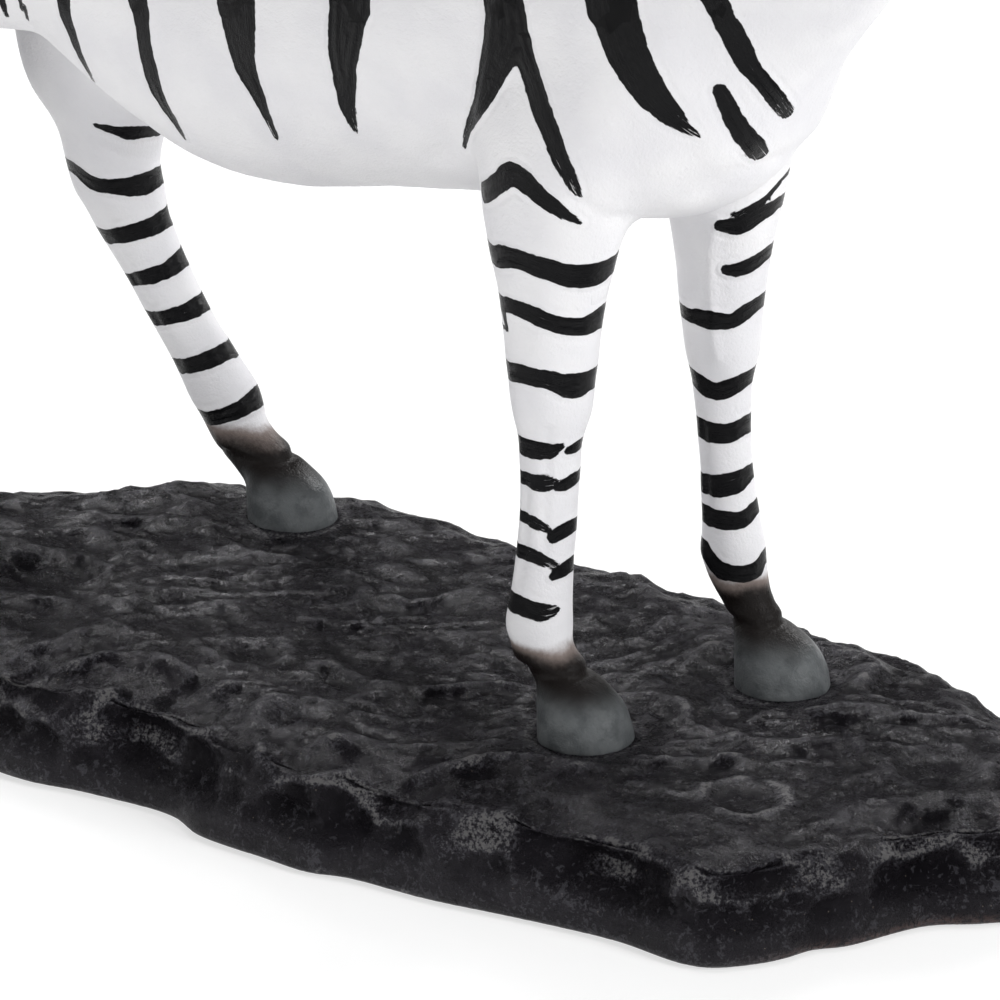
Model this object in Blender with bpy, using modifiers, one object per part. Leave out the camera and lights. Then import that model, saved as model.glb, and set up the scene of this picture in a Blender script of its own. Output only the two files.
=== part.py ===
"""Zebra figurine: a walking zebra cast in one piece, standing on a rough rock plinth of its own.

+X is the way the zebra walks, +Y its left side and +Z up. Both pieces are drawn round the middle
of the right fore hoof, and the finished pair is moved so that the middle of its underside is the
origin.
"""

import math

import bmesh
import bpy
import numpy as np
from mathutils import Matrix, Vector, noise

# Driving sizes, in metres
WITHERS_HEIGHT = 0.170  # top of the shoulders above the rock
HOOF_RADIUS = 0.0086
HOOF_HEIGHT = 0.0104
SEAT_DEPTH = 0.0014  # how deep a hoof is let into the rock
SEAT_GAP = 0.0003  # left free round a hoof in its seat
SKIN_CELL = 0.0010  # of the grid that joins the zebra's forms into one skin
PLINTH_THICKNESS = 0.018  # at the fore hooves
PLINTH_FRONT = 0.069  # rock beyond the middle of the foremost hoof
PLINTH_REAR = 0.0235  # beyond the middle of the rearmost one
PLINTH_LEFT = 0.0310  # beyond the middles of the left hooves
PLINTH_RIGHT = 0.0465  # beyond those of the right hooves
ROCK_SWELL = 0.0021  # height of the broad waves in the rock's top
SWELL_SPAN = 0.026
ROCK_LUMP = 0.0011  # height of the smaller lumps on them
LUMP_SPAN = 0.0095
RIM_DROP = 0.0016  # how far the top falls towards its edge
RIM_WIDTH = 0.0120
WALL_LEAN = 0.0054  # how far the rim lies inside the foot
WALL_CHIPS = 0.0022  # depth of the breaks in the wall
CHIP_SPAN = 0.0120

# Counts and shares
ZEBRA_TRIANGLES = 5800
SKIN_SMOOTHING = 6
RING_SIDES = 28
CURVE_STEPS = 4
OUTLINE_STEPS = 8
ELLIPSOID_SIDES = 20
ELLIPSOID_RINGS = 12
HOOF_SIDES = 24
HOOF_NARROWNESS = 0.96  # width of a hoof to its length
HEEL_FLATNESS = 0.1  # how much less a hoof reaches back than forward
PLINTH_SIDES = 92
PLINTH_RINGS = 9
SPINE_INSET = 1.1  # half widths of the plinth between its ends and those of its top's middle line
ROCK_RISE = 0.015  # of the rock's top towards the rear, as a slope
CHIP_FLATNESS = 1.6  # length of a break in the wall to its height
CHIP_FADE = 0.2  # share of the wall above which the breaks fade towards the rim
CALM_START = 1.1  # hoof radii from a hoof's middle within which the rock is level
CALM_WIDTH = 0.9  # hoof radii over which the rock's relief then grows
DENT_FLOOR = 0.55  # share of a dent's radius that is flat
SWELL_SEED = 11.5
LUMP_SEED = 747.4
TRUNK_EGG = -0.1  # below 0 the lower half is the broader
NECK_EGG = -0.18
HEAD_EGG = 0.06

# The figure's own proportions are in figure units, 170 to its height at the withers.
FIGURE_UNIT = WITHERS_HEIGHT / 170

# Trunk from the breast to the buttocks: (forward, top, bottom, half width)
TRUNK = (
    (32, 130, 118, 5), (28, 140, 108, 12), (22, 149, 97.5, 18), (14, 157, 90.5, 22.5),
    (4, 165, 86, 25), (-10, 170, 84.5, 26.5), (-28, 168.5, 83.2, 27.5), (-48, 163, 80, 29),
    (-68, 160.5, 75.6, 30), (-88, 161, 74, 30), (-104, 163, 77.8, 29.3), (-120, 165.5, 85.5, 28.4),
    (-136, 165, 94, 27), (-149, 161, 104, 24), (-159, 153, 115, 18), (-166, 142, 126, 8),
)

# Neck up to the poll: (crest forward, crest up, throat forward, throat up, half width)
NECK = (
    (-46, 160, -4, 92, 24), (-30, 166, 10, 96, 23.5), (-15, 170.5, 24.5, 104.5, 21.5),
    (0, 177.5, 34.5, 118.5, 18.5),
    (20, 187.5, 47, 135, 15.5), (40, 199, 57, 152, 13.3), (58, 209, 64.5, 167, 11.8),
    (74, 216, 69, 181, 10.5),
)

# Head, along the line of the face from the poll: (along, brow above it, jaw above it, half width)
POLL = (74, 216)
FACE_SLOPE = math.radians(-40)
HEAD = (
    (-6, -6, -22, 6.5), (0, -1, -29, 9), (8, 2, -32.5, 11), (16, 3, -33.5, 12),
    (25, 2.6, -31.5, 11.8), (34, 1.8, -27.5, 10.4), (43, 1, -23.8, 9), (52, 0.4, -21.4, 8.2),
    (60, 0.4, -20.6, 8.5), (66, -1.2, -19.4, 8.2), (70.5, -5, -16, 5.6),
)

# Forms on both sides of the head: (along, out, above the face, radii along, out and above)
HEAD_FORMS = (
    (17, 7.6, -19, 11, 5.4, 12), (25, 8.2, -5.6, 4.4, 3.5, 3.4), (20, 6, -2, 8, 4.6, 3),
    (63, 4.8, -6.6, 4.4, 3.8, 4.8), (61, 2, -18.2, 5.6, 4, 3.6),
)

# Ears: the base as in HEAD_FORMS, the ways that they point and lie across, and rings
# (along, half width, half depth)
EAR_BASE = (1.5, 6.4, -1)
EAR_WAY = (-0.2, 0.32, 1)
EAR_ACROSS = (0.35, 1, 0)
EAR_RINGS = (
    (-4, 2.6, 2.8), (1, 3.5, 3.2), (6, 4.8, 3.4), (11, 5.4, 3), (15, 4.9, 2.5), (18.5, 3.4, 1.9),
    (20.6, 1.3, 1),
)
EAR_HOLLOW = 1.25  # share of the half depth that the ear's front is scooped by
EAR_HOLLOW_START = 6  # height above the base where the hollow has its full depth

# Upright mane from the forehead to the withers: (forward, up, height, half width)
MANE = (
    (83, 209, 1, 1.6), (79, 213.5, 7, 2.3), (71, 216, 11, 2.7), (60, 210, 12.6, 3),
    (42, 199.5, 13, 3.2), (22, 188, 12.4, 3.2), (4, 178.5, 10.4, 3), (-10, 171.5, 6.5, 2.6),
    (-24, 168, 1, 1.6),
)
MANE_ROOT = 5  # how far the mane reaches into the neck

# Tail lying against the buttocks, with its tuft: (forward, up, half depth, half width)
TAIL = (
    (-154, 156, 4, 5), (-163, 149, 4.4, 5), (-168.5, 139, 4, 4.3), (-170.5, 126, 3.4, 3.6),
    (-170, 112, 3.4, 3.6), (-168, 100, 4.2, 4.6), (-165, 88, 5.2, 5.8), (-162.5, 76, 4.8, 5.4),
    (-161, 66, 3, 3.4), (-160.5, 62, 1.2, 1.4),
)

# Girth by the place along a foreleg: 0 elbow, 1 knee, 2 fetlock, 3 top of the hoof.
# On a hind leg: 0 hip, 1 stifle, 2 hock, 3 fetlock, 4 top of the hoof. (place, half depth, half width)
GIRTHS = {
    "fore": (
        (-0.6, 19, 8.5), (-0.3, 18, 9.6), (0, 15.6, 10), (0.35, 12.1, 8.8), (0.5, 10.2, 7.8),
        (0.64, 9, 7.3), (0.8, 8.1, 7), (1, 6.8, 6.4), (1.13, 5.8, 5.5), (1.28, 5.2, 4.8),
        (1.5, 5.05, 4.5), (1.72, 5.3, 4.6), (1.9, 5.7, 4.9), (2.02, 6, 5.1), (2.4, 5.1, 4.7),
        (2.75, 4.2, 4), (3, 4.5, 4.3), (3.6, 4.4, 4.2),
    ),
    "hind": (
        (-0.3, 22, 11), (0, 24, 13), (0.5, 23, 13.5), (1, 20.5, 13.4), (1.25, 19, 13),
        (1.45, 17, 12.2), (1.58, 14, 10.9), (1.68, 11.6, 9.7), (1.78, 9.7, 8.8), (1.9, 9, 8.1),
        (2, 8.7, 7.6), (2.14, 7.5, 6.9),
        (2.3, 6.4, 6), (2.5, 5.6, 5.3), (2.7, 5.4, 5), (2.88, 5.9, 5.4), (3, 6.3, 5.7),
        (3.3, 5.7, 5.3), (3.65, 4.8, 4.8), (4, 5, 5.2), (4.6, 4.6, 4.8),
    ),
}

KNEE_PLACE = {"fore": 1, "hind": 2}
TILT_START = -0.4  # place, from the knee or hock, where the rings begin to turn square to the leg
TILT_SPAN = 0.5
POINT_OF_HOCK = (-5.6, 3.5, 4.2)  # (forward of the hock, above it, radius)
SLIMNESS = {"right_fore": 1, "left_fore": 0.96, "left_hind": 1, "right_hind": 0.94}

# Each leg's kind, and its centre line as (place, forward, side, up)
LEGS = {
    "right_fore": ("fore", (
        (-0.6, 3, -17, 122), (0, -6, -18.5, 98), (0.5, -7.4, -19, 77.5), (1, -7.6, -19, 57),
        (1.5, -8.2, -19, 37), (2, -9.8, -19, 17.5), (2.4, -9, -19, 13.6), (3, -5.2, -19, 9.6),
        (3.6, -3.4, -19, 5))),
    "left_fore": ("fore", (
        (-0.6, 6, 17, 122), (0, -2.4, 18.5, 98), (0.5, -3, 19, 78), (1, -2.9, 19, 57.5),
        (1.5, -1.8, 19, 38), (2, 0.4, 19, 21.5), (2.4, 2, 19, 16.5), (3, 5.6, 19, 10),
        (3.6, 7.4, 19, 5))),
    "left_hind": ("hind", (
        (-0.3, -139, 13, 142), (0, -139, 14, 130), (0.5, -140, 15, 112), (1, -142, 16, 94),
        (1.48, -143.2, 16.5, 74.5), (1.72, -141.6, 17, 66), (2, -140.7, 17, 55.5),
        (2.5, -129.5, 17, 38.4), (3, -114.6, 17, 20.6), (3.4, -111.6, 17, 15),
        (4, -105, 17, 10.2), (4.6, -102, 17, 6))),
    "right_hind": ("hind", (
        (-0.3, -139, -13, 142), (0, -142, -14, 130), (0.5, -149, -15.5, 113), (1, -156, -16.5, 97),
        (1.5, -159, -18.5, 77), (2, -161.5, -19.5, 58), (2.5, -163, -20, 38),
        (3, -164.5, -20, 18.5), (3.4, -163.5, -20, 14), (4, -159.2, -20, 9.6), (4.6, -157, -20, 5))),
}

# Middles of the hooves on the rock: (forward, side)
HOOVES = {
    "right_fore": (0, -19), "left_fore": (11, 19),
    "left_hind": (-99, 17), "right_hind": (-154.5, -20),
}

# Hoof from its sole to its top, as shares of its own sizes: (height, radius, radii further back)
HOOF_PROFILE = (
    (0, 1, 0), (0.3, 0.965, 0.04), (0.58, 0.88, 0.15), (0.8, 0.74, 0.34), (0.94, 0.6, 0.52),
    (1, 0.47, 0.63),
)

# Swells on both sides of the body: (forward, side, up, radii forward, side and up)
SWELLS = (
    (0, 13, 121, 23.5, 13.4, 32), (-9, 18.5, 101, 13, 9.5, 15), (8, 10, 106, 12, 9, 16),
    (-136, 15, 124, 27, 13.5, 32),
)

# The rock's outline at its foot, as drawn on the real one from the front tip round by the left
ROCK_FOOT = (
    (80, 20), (70, 32), (52, 41), (28, 47), (6, 50), (-28, 48.5), (-57, 45), (-82, 42.5),
    (-104, 39), (-126, 28), (-141, 11), (-152, -3), (-168, -10), (-178, -25), (-174, -43),
    (-153, -56), (-121, -64), (-89, -66.5), (-73, -62.8), (-57, -60), (-47, -62.7), (-34, -62),
    (-24, -61.2), (-17, -58.3), (-3, -56), (10, -52.4), (21, -49.5), (31, -47.5), (42, -47.2),
    (48, -45), (52.5, -39.5), (55, -34.5), (56.5, -29), (60, -24), (64.5, -11), (71, -4), (78, 6),
)

# Its wall from the foot to the rim, as shares: (way up, way in to the rim's own outline)
ROCK_WALL = ((0, 0.22), (0.08, 0), (0.36, 0.12), (0.62, 0.3), (0.85, 0.6), (1, 1))

# Round dents pressed into its top: (forward, side, radius, depth)
DENTS = (
    (35.5, -34.5, 6.4, 0.9), (-62, -33, 8, 0.8), (-30, -44, 7, 0.7), (52, 8, 8, 0.8),
    (-112, -30, 9, 0.9), (-8, 0, 9, 0.7), (-128, -48, 7, 0.8), (28, 30, 7, 0.7),
)

HIDE_WHITE = (0.86, 0.86, 0.88, 1.0)
ROCK_BLACK = (0.022, 0.021, 0.024, 1.0)


def in_metres(*values):
    """Figure units made metres."""
    return Vector(values) * FIGURE_UNIT


def curve_through(rows, steps=CURVE_STEPS):
    """The rows with more between them, on a smooth Catmull-Rom curve through them."""
    rows = [np.array(row, float) for row in rows]
    rows = [2 * rows[0] - rows[1]] + rows + [2 * rows[-1] - rows[-2]]
    found = []
    for a, b, c, d in zip(rows, rows[1:], rows[2:], rows[3:]):
        for t in np.arange(steps) / steps:
            bend = (2 * a - 5 * b + 4 * c - d) * t ** 2 + (3 * b - a - 3 * c + d) * t ** 3
            found.append(0.5 * (2 * b + (c - a) * t + bend))
    return found + [rows[-2]]


def loft(bm, rings):
    """A closed skin over rings that have the same count of points."""
    rings = [[bm.verts.new(point) for point in ring] for ring in rings]
    for lower, upper in zip(rings, rings[1:]):
        for i in range(len(lower)):
            j = (i + 1) % len(lower)
            bm.faces.new((lower[i], lower[j], upper[j], upper[i]))
    bm.faces.new(rings[0][::-1])
    bm.faces.new(rings[-1])


def oval(upper, lower, half_width, side=0.0, egg=0.0):
    """A ring round the line from upper to lower, both (forward, up), in figure units."""
    middle = (np.array(upper) + np.array(lower)) / 2
    reach = (np.array(upper) - np.array(lower)) / 2
    points = []
    for step in range(RING_SIDES):
        angle = 2 * math.pi * step / RING_SIDES
        forward, up = middle + reach * math.cos(angle)
        out = half_width * math.sin(angle) * (1 + egg * math.cos(angle))
        points.append(in_metres(forward, side + out, up))
    return points


def across(points):
    """At each (forward, up) point of a line, the unit vector square to the line."""
    ways = np.gradient(np.array(points), axis=0)
    ways /= np.linalg.norm(ways, axis=1, keepdims=True)
    return np.stack([-ways[:, 1], ways[:, 0]], axis=1)


def on_face(along, above):
    """The (forward, up) place of a point given along and above the line of the face."""
    cosine, sine = math.cos(FACE_SLOPE), math.sin(FACE_SLOPE)
    return POLL[0] + along * cosine - above * sine, POLL[1] + along * sine + above * cosine


def ellipsoid(bm, centre, radii, slope=0.0):
    """An ellipsoid, its long axes tipped by slope about the side axis, in figure units."""
    place = Matrix.Translation(in_metres(*centre)) @ Matrix.Rotation(-slope, 4, "Y")
    size = Matrix.Diagonal((*in_metres(*radii), 1.0))
    bmesh.ops.create_uvsphere(
        bm, u_segments=ELLIPSOID_SIDES, v_segments=ELLIPSOID_RINGS, radius=1.0, matrix=place @ size
    )


def add_trunk(bm):
    rings = [
        oval((forward, top), (forward, bottom), half_width, egg=TRUNK_EGG)
        for forward, top, bottom, half_width in curve_through(TRUNK)
    ]
    loft(bm, rings)
    for forward, side, up, *radii in SWELLS:
        for hand in (-1, 1):
            ellipsoid(bm, (forward, hand * side, up), radii)


def add_neck(bm):
    rings = [
        oval(row[0:2], row[2:4], row[4], egg=NECK_EGG) for row in curve_through(NECK)
    ]
    loft(bm, rings)


def add_head(bm):
    rings = [
        oval(on_face(along, brow), on_face(along, jaw), half_width, egg=HEAD_EGG)
        for along, brow, jaw, half_width in curve_through(HEAD)
    ]
    loft(bm, rings)
    for along, out, above, *radii in HEAD_FORMS:
        forward, up = on_face(along, above)
        for hand in (-1, 1):
            ellipsoid(bm, (forward, hand * out, up), radii, FACE_SLOPE)


def add_ear(bm, hand):
    """A rounded ear on one side, open to the front."""
    along, out, above = EAR_BASE
    forward, up = on_face(along, above)
    base = Vector((forward, hand * out, up))
    way = Vector((EAR_WAY[0], hand * EAR_WAY[1], EAR_WAY[2])).normalized()
    across_ear = Vector((EAR_ACROSS[0], hand * EAR_ACROSS[1], EAR_ACROSS[2]))
    broad = across_ear.cross(way).cross(way).normalized()
    deep = way.cross(broad).normalized()
    if deep.x < 0:
        deep = -deep
    rings = []
    for distance, half_width, half_depth in curve_through(EAR_RINGS):
        hollow = EAR_HOLLOW * min(1.0, max(0.0, distance / EAR_HOLLOW_START))
        points = []
        for step in range(RING_SIDES):
            angle = 2 * math.pi * step / RING_SIDES
            scoop = hollow * max(0.0, math.cos(angle)) ** 3
            point = base + way * distance + broad * half_width * math.sin(angle)
            point += deep * half_depth * (math.cos(angle) - scoop)
            points.append(in_metres(*point))
        rings.append(points)
    loft(bm, rings)


def add_mane(bm):
    rows = curve_through(MANE)
    squares = across([row[0:2] for row in rows])
    rings = []
    for (forward, up, height, half_width), square in zip(rows, squares):
        out = square if square[1] > 0 else -square
        crest = np.array((forward, up))
        rings.append(oval(crest + out * height, crest - out * MANE_ROOT, half_width))
    loft(bm, rings)


def add_tail(bm):
    rows = curve_through(TAIL)
    squares = across([row[0:2] for row in rows])
    rings = []
    for (forward, up, half_depth, half_width), square in zip(rows, squares):
        middle = np.array((forward, up))
        rings.append(oval(middle + square * half_depth, middle - square * half_depth, half_width))
    loft(bm, rings)


def add_leg(bm, kind, slimness, line):
    """A leg round its centre line, with the girth that its kind has at each place.

    Its rings lie level down to the knee or hock, and square to the line below it. A hind leg has
    the point of its hock as well.
    """
    places, depths, widths = zip(*GIRTHS[kind])
    joint = KNEE_PLACE[kind]
    rows = curve_through(line)
    squares = across([(row[1], row[3]) for row in rows])
    rings = []
    for (place, forward, side, up), square in zip(rows, squares):
        tilt = eased((place - joint - TILT_START) / TILT_SPAN)
        square = square * tilt + np.array((math.copysign(1, square[0]), 0)) * (1 - tilt)
        half_depth = np.interp(place, places, depths) * slimness
        half_width = np.interp(place, places, widths) * slimness
        middle = np.array((forward, up))
        upper, lower = middle + square * half_depth, middle - square * half_depth
        rings.append(oval(upper, lower, half_width, side=side))
    loft(bm, rings)
    if kind == "hind":
        forward, above, radius = POINT_OF_HOCK
        hock = next(row[1:] for row in line if row[0] == joint)
        ellipsoid(bm, (hock[0] + forward, hock[1], hock[2] + above), (radius, radius, radius))


def hoof_middle(name):
    """Where the middle of a hoof meets the rock."""
    forward, side = in_metres(*HOOVES[name])
    return Vector((forward, side, rock_level(forward)))


def add_hoof(bm, name, grow=0.0, straight_up=False):
    """A hoof let into the rock, or with grow the seat that it leaves there."""
    middle = hoof_middle(name)
    bottom = -SEAT_DEPTH - grow
    rings = []
    profile = ((0, 1, 0), (1, 1, 0)) if straight_up else HOOF_PROFILE
    for height, share, back in profile:
        radius = HOOF_RADIUS * share + grow
        up = bottom + (HOOF_HEIGHT - bottom) * height
        ring = []
        for step in range(HOOF_SIDES):
            angle = 2 * math.pi * step / HOOF_SIDES
            heel = 1 - HEEL_FLATNESS * max(0.0, -math.cos(angle))
            forward = radius * heel * math.cos(angle) - HOOF_RADIUS * back
            ring.append(middle + Vector((forward, HOOF_NARROWNESS * radius * math.sin(angle), up)))
        rings.append(ring)
    loft(bm, rings)


def rock_level(forward):
    """Height of the rock's top before it is sculpted: level at the fore hooves, rising to the rear."""
    return max(0.0, -forward) * ROCK_RISE


def eased(share):
    share = min(1.0, max(0.0, share))
    return share * share * (3 - 2 * share)


def waves(forward, side, span, seed):
    return noise.noise(Vector((forward / span, side / span, seed)))


def rock_top(forward, side, from_rim):
    """Height of the rock's top at a place that lies from_rim inside its rim."""
    relief = ROCK_SWELL * waves(forward, side, SWELL_SPAN, SWELL_SEED)
    relief += ROCK_LUMP * waves(forward, side, LUMP_SPAN, LUMP_SEED)
    for dent in DENTS:
        x, y, radius, depth = (value * FIGURE_UNIT for value in dent)
        distance = math.hypot(forward - x, side - y) / radius
        relief -= depth * (1 - eased((distance - DENT_FLOOR) / (1 - DENT_FLOOR)))
    for name in HOOVES:
        middle = hoof_middle(name)
        distance = math.hypot(forward - middle.x, side - middle.y) / HOOF_RADIUS
        relief *= eased((distance - CALM_START) / CALM_WIDTH)
    return rock_level(forward) + relief - RIM_DROP * (1 - eased(from_rim / RIM_WIDTH))


def rock_outline():
    """The foot's outline, stretched to the margins round the hooves, evenly filled with points."""
    hooves = [hoof_middle(name) for name in HOOVES]
    front = max(hoof.x for hoof in hooves) + PLINTH_FRONT
    rear = min(hoof.x for hoof in hooves) - PLINTH_REAR
    left = max(hoof.y for hoof in hooves) + PLINTH_LEFT
    right = min(hoof.y for hoof in hooves) - PLINTH_RIGHT
    drawn = np.array(ROCK_FOOT, float)
    share = (drawn - drawn.min(0)) / (drawn.max(0) - drawn.min(0))
    points = np.array((rear, right)) + share * np.array((front - rear, left - right))
    points = np.array(curve_through(np.vstack([points, points[:1]]), OUTLINE_STEPS))
    lengths = np.linalg.norm(np.diff(points, axis=0), axis=1)
    along = np.concatenate([[0], np.cumsum(lengths)])
    wanted = np.arange(PLINTH_SIDES) / PLINTH_SIDES * along[-1]
    return np.stack([np.interp(wanted, along, points[:, axis]) for axis in (0, 1)], axis=1)


def inward(outline):
    """At each point of an anticlockwise outline, the unit vector towards its inside."""
    ways = np.roll(outline, -1, axis=0) - np.roll(outline, 1, axis=0)
    ways /= np.linalg.norm(ways, axis=1, keepdims=True)
    return np.stack([-ways[:, 1], ways[:, 0]], axis=1)


def make_rock():
    """The plinth: rings up its broken wall, then across its top to a short spine in the middle."""
    outline = rock_outline()
    into = inward(outline)
    rings = []
    for way_up, way_in in ROCK_WALL:
        ring = []
        for (x, y), (dx, dy) in zip(outline, into):
            inset = way_in * WALL_LEAN
            rim = rock_top(x + dx * WALL_LEAN, y + dy * WALL_LEAN, 0.0)
            up = -PLINTH_THICKNESS + way_up * (rim + PLINTH_THICKNESS)
            if 0 < way_up:
                chip = abs(noise.noise(Vector((x, y, up * CHIP_FLATNESS)) / CHIP_SPAN))
                inset += WALL_CHIPS * chip * math.sin(math.pi * min(1.0, way_up + CHIP_FADE))
            ring.append(Vector((x + dx * inset, y + dy * inset, up)))
        rings.append(ring)
    rim = np.array([(point.x, point.y) for point in rings[-1]])
    low, high = rim.min(0), rim.max(0)
    half = (high[1] - low[1]) / 2
    spine_y = (low[1] + high[1]) / 2
    ends = low[0] + half * SPINE_INSET, high[0] - half * SPINE_INSET
    for step in range(1, PLINTH_RINGS):
        share = step / PLINTH_RINGS
        ring = []
        for x, y in rim:
            goal = np.array((min(ends[1], max(ends[0], x)), spine_y))
            place = np.array((x, y)) * (1 - share) + goal * share
            from_rim = math.hypot(*(place - (x, y)))
            ring.append(Vector((*place, rock_top(*place, from_rim))))
        rings.append(ring)
    bm = bmesh.new()
    loft(bm, rings)
    bmesh.ops.triangulate(bm, faces=[face for face in bm.faces if len(face.verts) > 4])
    return bm


def material(name, colour, roughness):
    made = bpy.data.materials.new(name)
    made.use_nodes = True
    shader = made.node_tree.nodes["Principled BSDF"]
    shader.inputs["Base Color"].default_value = colour
    shader.inputs["Roughness"].default_value = roughness
    return made


def make_object(name, bm, collection, parent, finish=None):
    bmesh.ops.recalc_face_normals(bm, faces=bm.faces)
    mesh = bpy.data.meshes.new(name)
    bm.to_mesh(mesh)
    bm.free()
    made = bpy.data.objects.new(name, mesh)
    made.parent = parent
    collection.objects.link(made)
    if finish:
        mesh.materials.append(finish)
        mesh.shade_smooth()
    else:
        made.hide_render = True
        made.display_type = "WIRE"
    return made


def boolean(piece, cutter, operation):
    cut = piece.modifiers.new(cutter.name, "BOOLEAN")
    cut.operation = operation
    cut.object = cutter


def evaluated_points(piece):
    """The corners of a piece with its modifiers, in world space, and its count of triangles."""
    bpy.context.view_layer.update()
    evaluated = piece.evaluated_get(bpy.context.evaluated_depsgraph_get())
    mesh = evaluated.to_mesh()
    mesh.calc_loop_triangles()
    points = [piece.matrix_world @ vertex.co for vertex in mesh.vertices]
    count = len(mesh.loop_triangles)
    evaluated.to_mesh_clear()
    return points, count


def make_zebra(collection, cutters, parent):
    """The zebra: overlapping forms joined into one skin, thinned out, and its four hooves added."""
    bm = bmesh.new()
    add_trunk(bm)
    add_neck(bm)
    add_head(bm)
    for hand in (-1, 1):
        add_ear(bm, hand)
    add_mane(bm)
    add_tail(bm)
    for name, (kind, line) in LEGS.items():
        add_leg(bm, kind, SLIMNESS[name], line)
    hide = material("painted_hide", HIDE_WHITE, 0.45)
    zebra = make_object("zebra", bm, collection, parent, hide)
    skin = zebra.modifiers.new("one_skin", "REMESH")
    skin.mode = "VOXEL"
    skin.voxel_size = SKIN_CELL
    smooth = zebra.modifiers.new("soften", "SMOOTH")
    smooth.iterations = SKIN_SMOOTHING
    count = evaluated_points(zebra)[1]
    thin = zebra.modifiers.new("thin_out", "DECIMATE")
    thin.ratio = ZEBRA_TRIANGLES / count
    for name in HOOVES:
        hoof = bmesh.new()
        add_hoof(hoof, name)
        boolean(zebra, make_object(name + "_hoof", hoof, cutters, parent), "UNION")
    return zebra


def make_plinth(collection, cutters, parent):
    paint = material("painted_rock", ROCK_BLACK, 0.5)
    rock = make_object("rock_base", make_rock(), collection, parent, paint)
    for name in HOOVES:
        seat = bmesh.new()
        add_hoof(seat, name, grow=SEAT_GAP, straight_up=True)
        boolean(rock, make_object(name + "_seat", seat, cutters, parent), "DIFFERENCE")
    return rock


def main():
    for piece in list(bpy.data.objects):
        bpy.data.objects.remove(piece, do_unlink=True)
    collection = bpy.data.collections.new("zebra_figurine")
    cutters = bpy.data.collections.new("cutters")
    for group in (collection, cutters):
        bpy.context.scene.collection.children.link(group)
    figurine = bpy.data.objects.new("figurine", None)
    collection.objects.link(figurine)
    pieces = make_zebra(collection, cutters, figurine), make_plinth(collection, cutters, figurine)
    points = [point for piece in pieces for point in evaluated_points(piece)[0]]
    low = Vector(min(point[axis] for point in points) for axis in range(3))
    high = Vector(max(point[axis] for point in points) for axis in range(3))
    figurine.location = -Vector(((low.x + high.x) / 2, (low.y + high.y) / 2, low.z))
    print("the middle of the right fore hoof is at", *(round(value, 5) for value in figurine.location))


main()
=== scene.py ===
# %% [markdown]
# # A zebra figurine and its looks
#
# The object is a table-top zebra cast in resin and painted by hand. It walks on a low dark rock that
# was cast with it. This notebook opens the measured model of it and gives each of its two pieces a
# finer skin and its paint. The numbers are in figure units, and one unit is a millimetre on the real
# piece. The point where the right fore hoof meets the rock is the middle of the drawing.

# %%
import math

import bmesh
import bpy
import numpy as np
from mathutils import Matrix, Vector, noise
from mathutils.bvhtree import BVHTree
from mathutils.kdtree import KDTree


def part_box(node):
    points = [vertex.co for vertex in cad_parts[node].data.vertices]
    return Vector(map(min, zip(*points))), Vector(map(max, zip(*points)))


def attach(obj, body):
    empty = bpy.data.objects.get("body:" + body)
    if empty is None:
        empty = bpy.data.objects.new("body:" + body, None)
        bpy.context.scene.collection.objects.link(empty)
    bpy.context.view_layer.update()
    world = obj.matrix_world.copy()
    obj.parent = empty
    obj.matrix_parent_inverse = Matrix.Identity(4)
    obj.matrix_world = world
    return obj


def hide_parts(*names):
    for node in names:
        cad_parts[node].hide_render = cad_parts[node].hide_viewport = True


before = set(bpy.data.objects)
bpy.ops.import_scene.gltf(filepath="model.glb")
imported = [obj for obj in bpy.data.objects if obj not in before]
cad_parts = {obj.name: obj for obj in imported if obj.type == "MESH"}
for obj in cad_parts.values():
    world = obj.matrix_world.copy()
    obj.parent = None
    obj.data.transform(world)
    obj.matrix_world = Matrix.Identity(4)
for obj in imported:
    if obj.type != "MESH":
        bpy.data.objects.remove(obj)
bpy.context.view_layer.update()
MILLIMETRE = 0.001
ROCK_CORNER = Vector((-178.04, -65.89, -18))  # lowest corner of the rock in the drawing
DRAWING_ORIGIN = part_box("rock_base")[0] - ROCK_CORNER * MILLIMETRE
print("the drawing's origin lies at", tuple(round(value, 5) for value in DRAWING_ORIGIN))

# %% [markdown]
# ## The camera
#
# The picture of the real zebra was taken from in front of its right shoulder, a little above it. The
# three hooves and the edge of the rock give the direction: 41 degrees round and 22 degrees up, about
# a metre away with a long lens. The same camera is used twice here. It makes the render, and it tells
# the painter where a brush stroke seen in the picture falls on the skin.

# %%
def placed(name, data):
    """A new object with that data, linked into the scene."""
    made = bpy.data.objects.new(name, data)
    bpy.context.scene.collection.objects.link(made)
    return made


CAMERA_ROUND = math.radians(41)
CAMERA_UP = math.radians(22)
CAMERA_DISTANCE = 1000.0
PICTURE_PIXELS = 1000  # the picture's width and height
LENS_PIXELS = 6000.0  # its focal length in pixels
CAMERA_TARGET = np.array((-28.57, -7.43, 30.55))
TO_CAMERA = np.array((
    math.sin(CAMERA_ROUND) * math.cos(CAMERA_UP),
    -math.cos(CAMERA_ROUND) * math.cos(CAMERA_UP),
    math.sin(CAMERA_UP),
))
CAMERA_RIGHT = np.array((math.cos(CAMERA_ROUND), math.sin(CAMERA_ROUND), 0.0))
CAMERA_TOP = np.cross(TO_CAMERA, CAMERA_RIGHT)
CAMERA_PLACE = CAMERA_TARGET + CAMERA_DISTANCE * TO_CAMERA


def sight_line(across, down):
    """The direction from the camera through a pixel of the picture."""
    middle = PICTURE_PIXELS / 2
    way = (across - middle) * CAMERA_RIGHT - (down - middle) * CAMERA_TOP - LENS_PIXELS * TO_CAMERA
    return Vector(way).normalized()


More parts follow.
